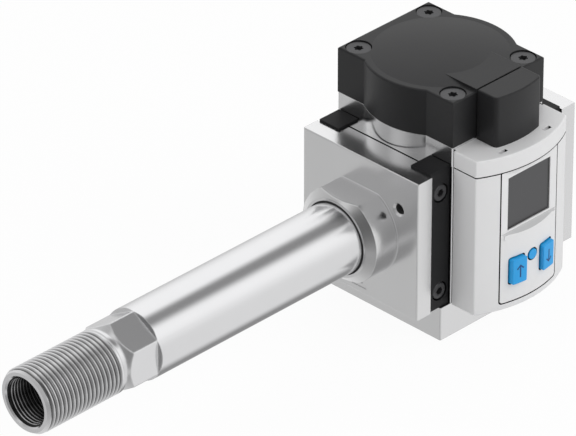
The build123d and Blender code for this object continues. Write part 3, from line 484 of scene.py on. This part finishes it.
def part_faces(shape, point, normal, **clear):
    """Part all faces along a plane through a point in millimetres."""
    everything = shape.verts[:] + shape.edges[:] + shape.faces[:]
    bmesh.ops.bisect_plane(shape, geom=everything, plane_co=[value * MM for value in point], plane_no=normal, **clear)


def wrapped_faces(rows, columns):
    """Four-cornered faces of a surface that closes on itself both ways."""
    faces = []
    for row in range(rows):
        here, after = row * columns, (row + 1) % rows * columns
        for step in range(columns):
            beside = (step + 1) % columns
            faces.append((here + step, here + beside, after + beside, after + step))
    return faces


def prism_faces(count):
    """Faces of a closed prism with that many points at each end."""
    sides = [(i, (i + 1) % count, count + (i + 1) % count, count + i) for i in range(count)]
    return [tuple(range(count)), tuple(range(2 * count - 1, count - 1, -1))] + sides


def prism_piece(name, outline, low, high):
    """Closed upright prism over an outline in X and Y."""
    verts = [(x, y, level) for level in (low, high) for x, y in outline]
    return new_piece(name, verts, prism_faces(len(outline)), gap_dark)


def steady(value):
    """Function of two numbers that gives the same value everywhere."""
    return lambda first, second: value


def frame_piece(name, outer, inner, axis, near, far):
    """Closed ring between two outlines with as many points, drawn across an axis: a cutter for a narrow gap.

    It reaches from one level to another one, which may change over the outline.
    """
    verts = []
    for outline, level in ((outer, steady(near)), (inner, steady(near)), (inner, far), (outer, far)):
        for a, b in outline:
            verts.append((level(a, b), a, b) if axis == "x" else (a, level(a, b), b))
    return new_piece(name, verts, wrapped_faces(4, len(outer)), gap_dark)


def ring_piece(name, rings, segments, place_at, material, angle=30.0):
    """Closed ring-shaped piece: each ring is a station along its axis and a radius function."""
    verts = []
    for station, radius_at in rings:
        for step in range(segments):
            turn = 2 * pi * step / segments
            radius = radius_at(station, turn)
            verts.append(place_at(station, radius * cos(turn), radius * sin(turn)))
    return new_piece(name, verts, wrapped_faces(len(rings), segments), material, angle)


def rectangle(low, high):
    return [(low[0], low[1]), (high[0], low[1]), (high[0], high[1]), (low[0], high[1])]


def circle(radius, steps):
    return [(radius * cos(2 * pi * step / steps), radius * sin(2 * pi * step / steps)) for step in range(steps)]


def round_rectangle(low, high, radius, steps=8):
    """Rectangle with rounded corners as points, anticlockwise."""
    points = []
    for cx, cz, start in ((high[0], high[1], 0), (low[0], high[1], 90), (low[0], low[1], 180), (high[0], low[1], 270)):
        mx = cx - radius if cx == high[0] else cx + radius
        mz = cz - radius if cz == high[1] else cz + radius
        for step in range(steps + 1):
            turn = radians(start + 90 * step / steps)
            points.append((mx + radius * cos(turn), mz + radius * sin(turn)))
    return points


def spread(start, stop, step):
    """Evenly spaced stations from start to stop, no further apart than step."""
    count = max(1, ceil(abs(stop - start) / step))
    return [start + (stop - start) * index / count for index in range(count + 1)]


def fade(value, start, stop):
    """0 at start, 1 at stop, smooth between."""
    share = min(1.0, max(0.0, (value - start) / (stop - start)))
    return share * share * (3 - 2 * share)


def bow_y(x, radius=BOW_RADIUS):
    """Bowed front of the housing, or a bow of another radius about the same centre."""
    return BOW_CENTRE_Y - sqrt(radius**2 - x**2)


# Threads

def thread_height(turns):
    """Rounded vee: 1 at a crest and 0 at a root, by the number of turns along the thread."""
    ridge = 1 - abs(2 * (turns % 1.0) - 1)
    flank = min(1.0, max(0.0, (ridge - 0.06) / 0.88))
    return 0.35 * flank + 0.65 * fade(flank, 0.0, 1.0)


def groove(station, turn, pitch, depth):
    """How far a full thread's surface lies below its crests."""
    return depth * (1 - thread_height(station / pitch - turn / (2 * pi)))


def on_flow_axis(station, across, up):
    return station, across, AXIS_Z + up


# Inlet tube: threaded end as its own mesh, the rest from the solid

TUBE_SEGMENTS = 144
CUTTER_SEGMENTS = 96
MALE_STEP = MALE_PITCH / 14
PORT_STEP = PORT_PITCH / 12
MALE_RUN_OUT = (2.4, 0.9)
PORT_RUN_OUT = (2.4, 0.8)
RIDGE_FLOOR = 12.0
RIDGE_STOP_X = THREAD_STOP_X - 1.2
PORT_EDGE_X = TUBE_TIP + 0.6
PORT_WALL = 10.3


def male_radius(station, turn):
    """Outside of the threaded end: a lead-in cone, then the thread until it runs out."""
    cone = THREAD_TIP_RADIUS + (station - TUBE_TIP) * (THREAD_MAJOR - THREAD_TIP_RADIUS) / LEAD_IN
    start, stop = [THREAD_STOP_X - length for length in MALE_RUN_OUT]
    depth = MALE_DEPTH * (1 - fade(station, start, stop))
    return min(THREAD_MAJOR, cone, THREAD_MAJOR - groove(station, turn, MALE_PITCH, depth))


def port_radius(station, turn):
    """Inside of the threaded end: female thread between the mouth and the bore."""
    start, stop = [TUBE_TIP + PORT_DEPTH - length for length in PORT_RUN_OUT]
    depth = PORT_GROOVE * (1 - fade(station, start, stop))
    return max(PORT_MOUTH - (station - TUBE_TIP), PORT_MINOR + groove(station, turn, PORT_PITCH, depth))


def make_threaded_end():
    port_end = TUBE_TIP + PORT_DEPTH
    rings = [(TUBE_TIP, steady(PORT_MOUTH)), (TUBE_TIP, steady(THREAD_TIP_RADIUS))]
    rings += [(station, male_radius) for station in spread(TUBE_TIP, THREAD_STOP_X, MALE_STEP)[1:]]
    rings += [(THREAD_CUT_X, steady(NECK_RADIUS)), (TUBE_SPLIT, steady(NECK_RADIUS))]
    rings += [(TUBE_SPLIT, steady(BORE_RADIUS)), (port_end, steady(BORE_RADIUS))]
    rings += [(station, port_radius) for station in reversed(spread(TUBE_TIP, port_end, PORT_STEP)[1:])]
    piece = ring_piece("tube_threaded_end", rings, TUBE_SEGMENTS, on_flow_axis, thread_metal, 40.0)
    dress(piece, thread_metal, ridge_metal, port_metal)
    # Painted highlight and shade: the male thread takes the lighter ridge finish
    tint(piece, 1, lambda x, y, z: TUBE_TIP + 0.6 * LEAD_IN < x < RIDGE_STOP_X and hypot(y, z - AXIS_Z) > RIDGE_FLOOR)
    # Painted shade inside the port
    tint(piece, 2, lambda x, y, z: x > PORT_EDGE_X and hypot(y, z - AXIS_Z) < PORT_WALL)
    return piece


def drop_tube_end(shape):
    """Keep the tube's side of the split and close its end with a ring."""
    part_faces(shape, (TUBE_SPLIT, 0, 0), (1, 0, 0), clear_inner=True)
    bmesh.ops.bridge_loops(shape, edges=[edge for edge in shape.edges if edge.is_boundary])
    turn_outwards(shape)


def make_tube_barrel():
    """The solid's hexagon and barrel, parted in the relief neck."""
    piece = clean_copy("inlet_tube", "tube_barrel")
    edit_mesh(piece, drop_tube_end)
    smooth_by_angle(piece)
    dress(piece, turned, hex_metal)
    tint(piece, 1, lambda x, y, z: HEXAGON_START < x < HEXAGON_STOP)
    return piece


for tube_piece in (make_threaded_end(), make_tube_barrel()):
    seat(tube_piece, BODY, "inlet_tube")


# Outlet plate: its female thread, and the joint line, a groove painted with shade, that both plates have

JOINT_GAP = 0.8
JOINT_GAP_DEPTH = 1.0
OUTLET_RUN_IN = (0.6, 2.2)


def cut_joint_line(piece, side):
    """Dark line round a plate where it meets the block."""
    inset = JOINT_GAP_DEPTH
    outer = rectangle((-HALF - 1, FOOT_Z - 1), (HALF + 1, LEDGE_Z + 1))
    inner = rectangle((-HALF + inset, FOOT_Z + inset), (HALF - inset, LEDGE_Z - inset))
    far = steady(side * (HALF + JOINT_GAP))
    carve(piece, frame_piece("joint_cutter", outer, inner, "x", side * (HALF - 0.5), far), 1)
    # Painted shade in the groove round the plate
    tint(piece, 1, lambda x, y, z: abs(x) < HALF + JOINT_GAP + TOUCH)


def outlet_radius(station, turn):
    depth = PORT_GROOVE * fade(station, *[HALF + length for length in OUTLET_RUN_IN])
    return PORT_MINOR - TOUCH + groove(station, turn, PORT_PITCH, depth)


def make_outlet_plate():
    piece = dress(clean_copy("outlet_plate", "outlet_plate_threaded"), blasted, gap_dark)
    stations = spread(HALF + 0.4, PLATE_FACE + 1.0, PORT_STEP)
    rings = [(station, outlet_radius) for station in stations]
    rings += [(stations[-1], steady(BORE_RADIUS)), (stations[0], steady(BORE_RADIUS))]
    carve(piece, ring_piece("outlet_thread_cutter", rings, CUTTER_SEGMENTS, on_flow_axis, blasted))
    cut_joint_line(piece, 1)
    smooth_by_angle(piece)
    seat(piece, BODY, "outlet_plate")


make_outlet_plate()


# Plug connector with its outside thread

CONNECTOR_Z = 74.0
CONNECTOR_FLANGE_Y = 33.2
CONNECTOR_MOUTH_Y = 43.2
CONNECTOR_RADIUS = 6.0
FINE_PITCH = 1.0
FINE_DEPTH = 0.6
FINE_RUN_IN = (0.5, 1.4)


def on_plug_axis(station, across, up):
    return across, station, CONNECTOR_Z + up


def plug_radius(station, turn):
    depth = FINE_DEPTH * fade(station, *[CONNECTOR_FLANGE_Y + length for length in FINE_RUN_IN])
    return CONNECTOR_RADIUS + 0.03 - groove(station, turn, FINE_PITCH, depth)


def make_connector_shell():
    piece = dress(clean_copy("connector_shell", "connector_shell_threaded"), plated_brass)
    stations = spread(CONNECTOR_FLANGE_Y + 0.3, CONNECTOR_MOUTH_Y + 0.5, FINE_PITCH / 12)
    outer = steady(CONNECTOR_RADIUS + 2.0)
    rings = [(station, plug_radius) for station in stations] + [(stations[-1], outer), (stations[0], outer)]
    carve(piece, ring_piece("plug_thread_cutter", rings, CUTTER_SEGMENTS, on_plug_axis, plated_brass))
    smooth_by_angle(piece)
    seat(piece, BODY, "connector_shell")


make_connector_shell()


# Arrows on the two large buttons

ARROW_HALF_HEIGHT = 2.9
ARROW_HEAD = 1.75
ARROW_STROKE = 0.62
ARROW_PROUD = 0.04
ARROW_DEEP = 0.3


def arrow_outline(centre_x, centre_z, way):
    """Outline of an arrow with an open head, pointing up (1) or down (-1)."""
    half = ARROW_STROKE / 2
    notch = half * 1.4
    tip, low = ARROW_HALF_HEIGHT, ARROW_HALF_HEIGHT - ARROW_HEAD
    crotch = tip - ARROW_STROKE * sqrt(2) - half + 0.1
    right = [(ARROW_HEAD, low), (ARROW_HEAD - notch, low - notch), (half, crotch), (half, -tip)]
    points = [(0, tip)] + right + [(-x, z) for x, z in reversed(right)]
    return [(centre_x + x, centre_z + way * z) for x, z in points]


def make_arrow(name, centre_x, way, body):
    outline = arrow_outline(centre_x, BUTTON_Z, way)
    verts = [(x, bow_y(x, BUTTON_FACE_RADIUS) + depth, z) for depth in (-ARROW_PROUD, ARROW_DEEP) for x, z in outline]
    piece = new_piece(name, verts, prism_faces(len(outline)), arrow_blue)
    edit_mesh(piece, lambda shape: bmesh.ops.triangulate(
        shape, faces=[face for face in shape.faces if len(face.verts) > 4]))
    place(piece, body)


make_arrow("up_arrow", -BUTTON_X, 1, "up_button")
make_arrow("down_arrow", BUTTON_X, -1, "down_button")


# Inlet plate: shaded holes, an engraved line and dot, and a thin raised bead where the boss meets it

PLATE_HOLES = ((-20.6, 15.55), (20.6, -15.55))
HOLE_SHADE_RADIUS = 2.2
MARKS = (((-3.6, 17.45), (4.1, 17.95)), ((-1.6, 19.4), (-1.0, 20.0)))
MARK_DEPTH = 0.3
BOSS_RADIUS = 20.1
BOSS_FLAT = 17.5
BEAD_RADIUS = 0.2
BEAD_OUT = 0.4
BEAD_PROUD = 0.1


def make_inlet_plate():
    piece = dress(clean_copy("inlet_plate", "inlet_plate_marked"), blasted, gap_dark, hole_shade)
    cut_joint_line(piece, -1)
    for across, up in PLATE_HOLES:
        tint(piece, 2, lambda x, y, z: hypot(y - across, z - AXIS_Z - up) < HOLE_SHADE_RADIUS)
    for (left, low), (right, high) in MARKS:
        outline = rectangle((-PLATE_FACE - 1, left), (-PLATE_FACE + MARK_DEPTH, right))
        carve(piece, dress(prism_piece("mark_cutter", outline, low, high), blasted))
    smooth_by_angle(piece)
    seat(piece, BODY, "inlet_plate")


def make_bead():
    """Rod bent along the boss: round, with a flat above and below."""
    rounds, steps = 8, 96
    verts = []
    for out, along in circle(BEAD_RADIUS, rounds):
        grow = BEAD_OUT + out
        flat = BOSS_FLAT + grow
        for y, up in circle(BOSS_RADIUS + grow, steps):
            verts.append((-PLATE_FACE - BEAD_PROUD + along, y, AXIS_Z + max(-flat, min(flat, up))))
    place(new_piece("boss_bead", verts, wrapped_faces(rounds, steps), bead_metal, 60.0), BODY)


make_inlet_plate()
make_bead()


# Block: broken upright corners with a painted highlight, a painted light strip beside the clamps and painted shade on
# the walls in the joints

CORNER_BREAK = 0.4
NECK_EDGE = NECK_SIDE + 0.1
STRIP_Y = 30.4
NECK_TOP_Z = 86.0


def corner_outline(side, end):
    """Triangle that breaks one upright corner of the neck."""
    x, y, reach = side * NECK_EDGE, end * HALF, CORNER_BREAK + 1.0
    return [(x - side * reach, y + end), (x + side, y - end * reach), (x + side, y + end)]


def make_block():
    piece = dress(clean_copy("main_body", "main_body_fitted"), blasted, gap_dark, corner_metal, bead_metal)
    for side in (-1, 1):
        for end in (-1, 1):
            # Painted highlight: the broken corners take the lighter bead finish
            carve(piece, prism_piece("corner_cutter", corner_outline(side, end), FOOT_Z + 0.01, NECK_TOP_Z), 3)
    for end in (-1, 1):
        edit_mesh(piece, lambda shape: part_faces(shape, (0, end * STRIP_Y, 0), (0, 1, 0)))
    for level in (FOOT_Z, CAP_TOP_Z):
        edit_mesh(piece, lambda shape: part_faces(shape, (0, 0, level), (0, 0, 1)))
    # Painted shade on the walls in the joints
    tint(piece, 1, lambda x, y, z: abs(x) > HALF - TOUCH and z > FOOT_Z - TOUCH)
    tint(piece, 1, lambda x, y, z: y < -HALF + TOUCH and FOOT_Z - TOUCH < z < CAP_TOP_Z + TOUCH)
    # Painted light on the strip beside the clamps
    tint(piece, 2, lambda x, y, z: abs(abs(x) - NECK_SIDE) < TOUCH and abs(y) > STRIP_Y - TOUCH
         and z < LEDGE_Z + TOUCH)
    smooth_by_angle(piece)
    seat(piece, BODY, "main_body")


make_block()


# Clamps: closed tops that stand a little proud, and a dark gap beside the block

CLAMP_PROUD = 0.9
CLAMP_TOP_Z = LEDGE_Z - 0.3
CLAMP_GAP = 0.4
CLAMP_INSIDE = 26.0


def make_clamp(node):
    piece = dress(clean_copy(node, node + "_fitted"), clamp_paint)
    for vertex in piece.data.vertices:
        x, y, z = vertex.co / MM
        if z > CLAMP_TOP_Z:
            vertex.co.z += CLAMP_PROUD * MM
        if abs(x) < CLAMP_INSIDE:
            vertex.co.x += (CLAMP_GAP if x > 0 else -CLAMP_GAP) * MM
    smooth_by_angle(piece)
    seat(piece, BODY, node)


for joint in ("inlet", "outlet"):
    for end in ("front", "rear"):
        make_clamp(f"{joint}_{end}_clamp")


# Display housing, cap and panel with their gaps, painted with shade inside

HOUSING_BACK_GAP = 0.75
BACK_GAP_DEPTH = 1.2
PARTING = 0.5
# Dark strip of painted shade under the cap's edge: set back from the bow, thick, and reaching into the cap
SHADE_STRIP_BACK = 0.12
SHADE_STRIP_THICK = 0.6
SHADE_STRIP_BITE = 0.05
PANEL_HALF = 16.0
PANEL_LOW_Z = 17.2
PANEL_TOP_Z = 76.95
PANEL_GAP = 0.25
PANEL_CORNER = 1.5
PANEL_GAP_MORE = 0.14
PANEL_TOP_GAP = 0.33
PANEL_GAP_DEPTH = 0.9
POCKET_X = (10.4, 14.4)
POCKET_Y = (-46.0, -44.4)
POCKET_DEPTH = 1.4
SILL_Z = (44.0, 50.3)
EDIT_Z = 35.0
BUTTON_OPENING = (3.8, 5.9)
EDIT_OPENING = 2.5
RECESS_OUT = 0.28
RECESS_IN = 0.2
RECESS_DEPTH = 1.0
RECESS_EDGE = 0.35
OPENING_WALL = 0.5
OPENING_DEPTH = 4.0
SILL_DEPTH = 5.0
FRONT_REACH = -70.0


def bow_points(half, back):
    """Points from left to right, some way behind the bowed front."""
    return [(x, bow_y(x) + back) for x in spread(-half, half, 1.5)]


def back_gap_cutter(low_z, high_z):
    """Narrow gap round the housing where it meets the block."""
    outer = rectangle((-NECK_HALF - 1, low_z), (NECK_HALF + 1, high_z))
    side, end = NECK_HALF - BACK_GAP_DEPTH, BACK_GAP_DEPTH + 1
    inner = rectangle((-side, low_z + end), (side, high_z - end))
    return frame_piece("back_gap_cutter", outer, inner, "y", -HALF - HOUSING_BACK_GAP, steady(-HALF + 0.5))


def panel_gap_cutter():
    """Gap round the panel, a little below the bowed face."""
    more, less = PANEL_GAP_MORE, PANEL_GAP + PANEL_GAP_MORE
    high = CAP_TOP_Z
    outer = round_rectangle((-PANEL_HALF - more, PANEL_LOW_Z - more), (PANEL_HALF + more, high + 1), PANEL_CORNER)
    inner = round_rectangle((-PANEL_HALF + less, PANEL_LOW_Z + less), (PANEL_HALF - less, high),
                            PANEL_CORNER - PANEL_GAP)
    return frame_piece("panel_gap_cutter", outer, inner, "y", FRONT_REACH, lambda x, z: bow_y(x) + PANEL_GAP_DEPTH)


def in_panel_opening(x, y, z):
    """Walls of the housing's opening for the panel, but not its top."""
    inside = abs(x) < PANEL_HALF + TOUCH and z > PANEL_LOW_Z - TOUCH and y < bow_y(x) + OPENING_DEPTH
    return inside and (abs(x) > PANEL_HALF - OPENING_WALL or z < PANEL_LOW_Z + OPENING_WALL)


def make_housing():
    piece = dress(clean_copy("display_housing", "display_housing_fitted"), housing_grey, gap_dark)
    carve(piece, back_gap_cutter(FOOT_Z - 1, CAP_Z + 3), 1)
    carve(piece, panel_gap_cutter(), 1)
    # Painted shade on the parting band and on the walls of the panel's opening
    tint(piece, 1, lambda x, y, z: CAP_Z - PARTING - TOUCH < z < CAP_Z + TOUCH)
    tint(piece, 1, in_panel_opening)
    smooth_by_angle(piece)
    seat(piece, BODY, "display_housing")


def in_pocket(x, y, z):
    """Release pockets in the cap's top, deeper towards the right."""
    across = POCKET_X[0] - 0.1 < abs(x) < POCKET_X[1] + 0.1 and POCKET_Y[0] - 0.1 < y < POCKET_Y[1] + 0.1
    return across and CAP_TOP_Z - POCKET_DEPTH < z < CAP_TOP_Z + 0.01


def at_pocket_end(x, y, z):
    """Deep end of each pocket."""
    return in_pocket(x, y, z) and min(abs(x + POCKET_X[0]), abs(x - POCKET_X[1])) < 0.05


def make_cap():
    piece = dress(clean_copy("housing_cap", "housing_cap_fitted"), housing_grey, gap_dark, pocket_shade)
    carve(piece, back_gap_cutter(CAP_Z - 3, CAP_TOP_Z + 3), 1)
    # Painted shade under the cap, in its pockets and at their deep ends
    tint(piece, 1, lambda x, y, z: abs(z - CAP_Z) < TOUCH)
    tint(piece, 2, in_pocket, lambda normal: normal.z < 0.999)
    tint(piece, 1, at_pocket_end)
    smooth_by_angle(piece)
    seat(piece, BODY, "housing_cap")


def make_parting_shade_strip():
    """Painted shade: a dark strip under the cap's lower edge carries the parting line on in front of the flat window
    field.
    """
    front = bow_points(PANEL_HALF + 0.1, SHADE_STRIP_BACK)
    back = [(x, y + SHADE_STRIP_THICK) for x, y in reversed(front)]
    place(prism_piece("parting_shade_strip", front + back, CAP_Z - PARTING, CAP_Z + SHADE_STRIP_BITE), BODY)


def top_gap_cutter():
    """Gap between the panel's top and the cap."""
    bow = bow_points(PANEL_HALF + 1, PANEL_GAP_DEPTH)
    outline = [(bow[0][0], FRONT_REACH), (bow[-1][0], FRONT_REACH)] + bow[::-1]
    return prism_piece("top_gap_cutter", outline, PANEL_TOP_Z - PANEL_TOP_GAP, CAP_Z + 3)


def recess_cutter(cx, cz, outer, inner):
    """Ring that widens an opening in the bowed face for a short way in."""
    outer, inner = [[(cx + x, cz + z) for x, z in points] for points in (outer, inner)]
    return frame_piece("recess_cutter", outer, inner, "y", FRONT_REACH, lambda x, z: bow_y(x) + RECESS_DEPTH)


def cut_recesses(piece):
    wide, tall = BUTTON_OPENING
    rounds, circles = [], []
    for more in (RECESS_OUT, -RECESS_IN):
        corner = (wide + more, tall + more)
        rounds.append(round_rectangle((-corner[0], -corner[1]), corner, 1.0 + more))
        circles.append(circle(EDIT_OPENING + more, 40))
    for centre in (-BUTTON_X, BUTTON_X):
        carve(piece, recess_cutter(centre, BUTTON_Z, *rounds), 1)
    carve(piece, recess_cutter(0, EDIT_Z, *circles), 1)


def on_sill(x, y, z):
    return SILL_Z[0] < z < SILL_Z[1] and y < bow_y(x) + SILL_DEPTH


def at_large_button(x, y, z):
    wide, tall = [size + RECESS_EDGE for size in BUTTON_OPENING]
    return abs(abs(x) - BUTTON_X) < wide and abs(z - BUTTON_Z) < tall


def at_edit_button(x, y, z):
    return hypot(x, z - EDIT_Z) < EDIT_OPENING + RECESS_EDGE


def make_panel():
    piece = dress(clean_copy("front_panel", "front_panel_fitted"), panel_grey, gap_dark, sill_grey)
    carve(piece, panel_gap_cutter(), 1)
    carve(piece, top_gap_cutter(), 1)
    cut_recesses(piece)
    # Painted shade in the recesses round the buttons
    for at_button in (at_large_button, at_edit_button):
        tint(piece, 1, at_button, lambda normal: normal.y > -0.7)
    # Painted shade on the sill under the window
    tint(piece, 2, on_sill, lambda normal: normal.z > 0.25)
    # Painted shade along the panel's edges in its gap
    tint(piece, 1, lambda x, y, z: abs(x) > PANEL_HALF - PANEL_GAP - TOUCH or z < PANEL_LOW_Z + PANEL_GAP + TOUCH)
    smooth_by_angle(piece)
    seat(piece, BODY, "front_panel")


make_housing()
make_cap()
make_parting_shade_strip()
make_panel()


# Studio: camera, floor, world and lamps

def make_camera():
    data = bpy.data.cameras.new("camera")
    data.sensor_width = 36.0
    data.sensor_fit = "HORIZONTAL"
    data.lens = CAMERA_LENS
    data.clip_end = 30.0
    camera = bpy.data.objects.new("camera", data)
    back = Vector((sin(CAMERA_AZIMUTH) * cos(CAMERA_ELEVATION), -cos(CAMERA_AZIMUTH) * cos(CAMERA_ELEVATION),
                   sin(CAMERA_ELEVATION)))
    right = Vector((cos(CAMERA_AZIMUTH), sin(CAMERA_AZIMUTH), 0))
    turn = Matrix((right, back.cross(right), back)).transposed().to_4x4()
    camera.matrix_world = Matrix.Translation(CAMERA_EYE) @ turn
    bpy.context.scene.collection.objects.link(camera)
    bpy.context.scene.camera = camera


def make_floor():
    """Pale floor: plainly white to the camera, and a soft shadow stays on it."""
    size = 12.0
    data = bpy.data.meshes.new("floor")
    data.from_pydata([(-size, -size, 0), (size, -size, 0), (size, size, 0), (-size, size, 0)], [], [(0, 1, 2, 3)])
    floor = bpy.data.objects.new("floor", data)
    floor.location = (0, 0, -0.0002)
    bpy.context.scene.collection.objects.link(floor)
    made = bpy.data.materials.new("floor_white")
    made.use_nodes = True
    tree = made.node_tree
    tree.nodes.clear()
    out = node_of(tree, "ShaderNodeOutputMaterial")
    diffuse = node_of(tree, "ShaderNodeBsdfDiffuse")
    diffuse.inputs["Color"].default_value = (0.86, 0.86, 0.86, 1)
    glow = node_of(tree, "ShaderNodeEmission")
    glow.inputs["Color"].default_value = (1, 1, 1, 1)
    path = node_of(tree, "ShaderNodeLightPath")
    share = grey_range(tree, path.outputs["Is Camera Ray"], 0.0, 0.95)
    mix = node_of(tree, "ShaderNodeMixShader")
    tree.links.new(share, mix.inputs["Fac"])
    tree.links.new(diffuse.outputs["BSDF"], mix.inputs[1])
    tree.links.new(glow.outputs["Emission"], mix.inputs[2])
    tree.links.new(mix.outputs["Shader"], out.inputs["Surface"])
    data.materials.append(made)
    floor.visible_glossy = False


# Directions in which the surroundings lose a share of their light, or gain it where the share is below zero:
# centre, distances from it at which the change begins to fade and has faded, and share
SKY_LOBES = (
    ((0.6, 0.15, -0.78), 0.15, 0.50, 0.65),
    ((0.6, 0.75, -0.35), 0.10, 0.45, 0.22),
    ((-1.0, 0.0, 0.0), 0.30, 0.75, 0.80),
    ((-0.60, -0.60, -0.52), 0.03, 0.24, -0.9),
    ((-0.605, 0.60, -0.52), 0.25, 0.60, -0.55),
    ((-0.84, 0.23, 0.50), 0.08, 0.38, -1.0),
)


def sky_level(tree):
    """Soft surroundings: bright above and in front, greyer on the left, with a dark gap between two overhead panels."""
    coords = node_of(tree, "ShaderNodeTexCoord").outputs["Generated"]
    split = node_of(tree, "ShaderNodeSeparateXYZ")
    tree.links.new(coords, split.inputs["Vector"])
    x, y, z = split.outputs
    level = maths(tree, "MULTIPLY", smooth_range(tree, z, -0.15, 0.5, 0.83, 1.08),
                  smooth_range(tree, x, -0.75, 0.30, 0.42, 1.0))
    off_centre = maths(tree, "ABSOLUTE", maths(tree, "ADD", y, 0.14))
    gap = smooth_range(tree, off_centre, 0.10, 0.40, 0.74, 0.0)
    overhead = maths(tree, "MULTIPLY", smooth_range(tree, z, 0.25, 0.55, 0.0, 1.0),
                     smooth_range(tree, x, -0.3, 0.2, 0.0, 1.0))
    level = maths(tree, "MULTIPLY", level, maths(tree, "SUBTRACT", 1.0, maths(tree, "MULTIPLY", gap, overhead)))
    for centre, inner, outer, share in SKY_LOBES:
        away = node_of(tree, "ShaderNodeVectorMath", operation="DISTANCE")
        away.inputs[1].default_value = centre
        tree.links.new(coords, away.inputs[0])
        kept = smooth_range(tree, away.outputs["Value"], inner, outer, 1.0 - share, 1.0)
        level = maths(tree, "MULTIPLY", level, kept)
    return level


def make_world():
    """Surroundings that light the object, and plain white to the camera."""
    world = bpy.data.worlds.new("studio")
    bpy.context.scene.world = world
    world.use_nodes = True
    tree = world.node_tree
    tree.nodes.clear()
    light = node_of(tree, "ShaderNodeBackground")
    light.inputs["Strength"].default_value = 1.0
    tree.links.new(sky_level(tree), light.inputs["Color"])
    white = node_of(tree, "ShaderNodeBackground")
    white.inputs["Color"].default_value = (1, 1, 1, 1)
    white.inputs["Strength"].default_value = 1.0
    path = node_of(tree, "ShaderNodeLightPath")
    mix = node_of(tree, "ShaderNodeMixShader")
    tree.links.new(path.outputs["Is Camera Ray"], mix.inputs["Fac"])
    tree.links.new(light.outputs["Background"], mix.inputs[1])
    tree.links.new(white.outputs["Background"], mix.inputs[2])
    out = node_of(tree, "ShaderNodeOutputWorld")
    tree.links.new(mix.outputs["Shader"], out.inputs["Surface"])


def make_lamp(name, spot, target, size, power):
    """Square lamp that lights but isn't mirrored."""
    data = bpy.data.lights.new(name, "AREA")
    data.shape = "SQUARE"
    data.size = size
    data.energy = power
    lamp = bpy.data.objects.new(name, data)
    aim = Vector(target) - Vector(spot)
    lamp.rotation_euler = aim.to_track_quat("-Z", "Y").to_euler()
    lamp.location = spot
    lamp.visible_glossy = False
    bpy.context.scene.collection.objects.link(lamp)


make_camera()
make_floor()
make_world()
make_lamp("key", (0.5, -1.2, 1.15), (-0.05, 0, 0.05), 1.0, 7.3)
make_lamp("fill", (-1.6, 0.1, 0.5), (-0.02, 0, 0.06), 0.9, 5.0)

bpy.context.scene.view_settings.view_transform = "Standard"
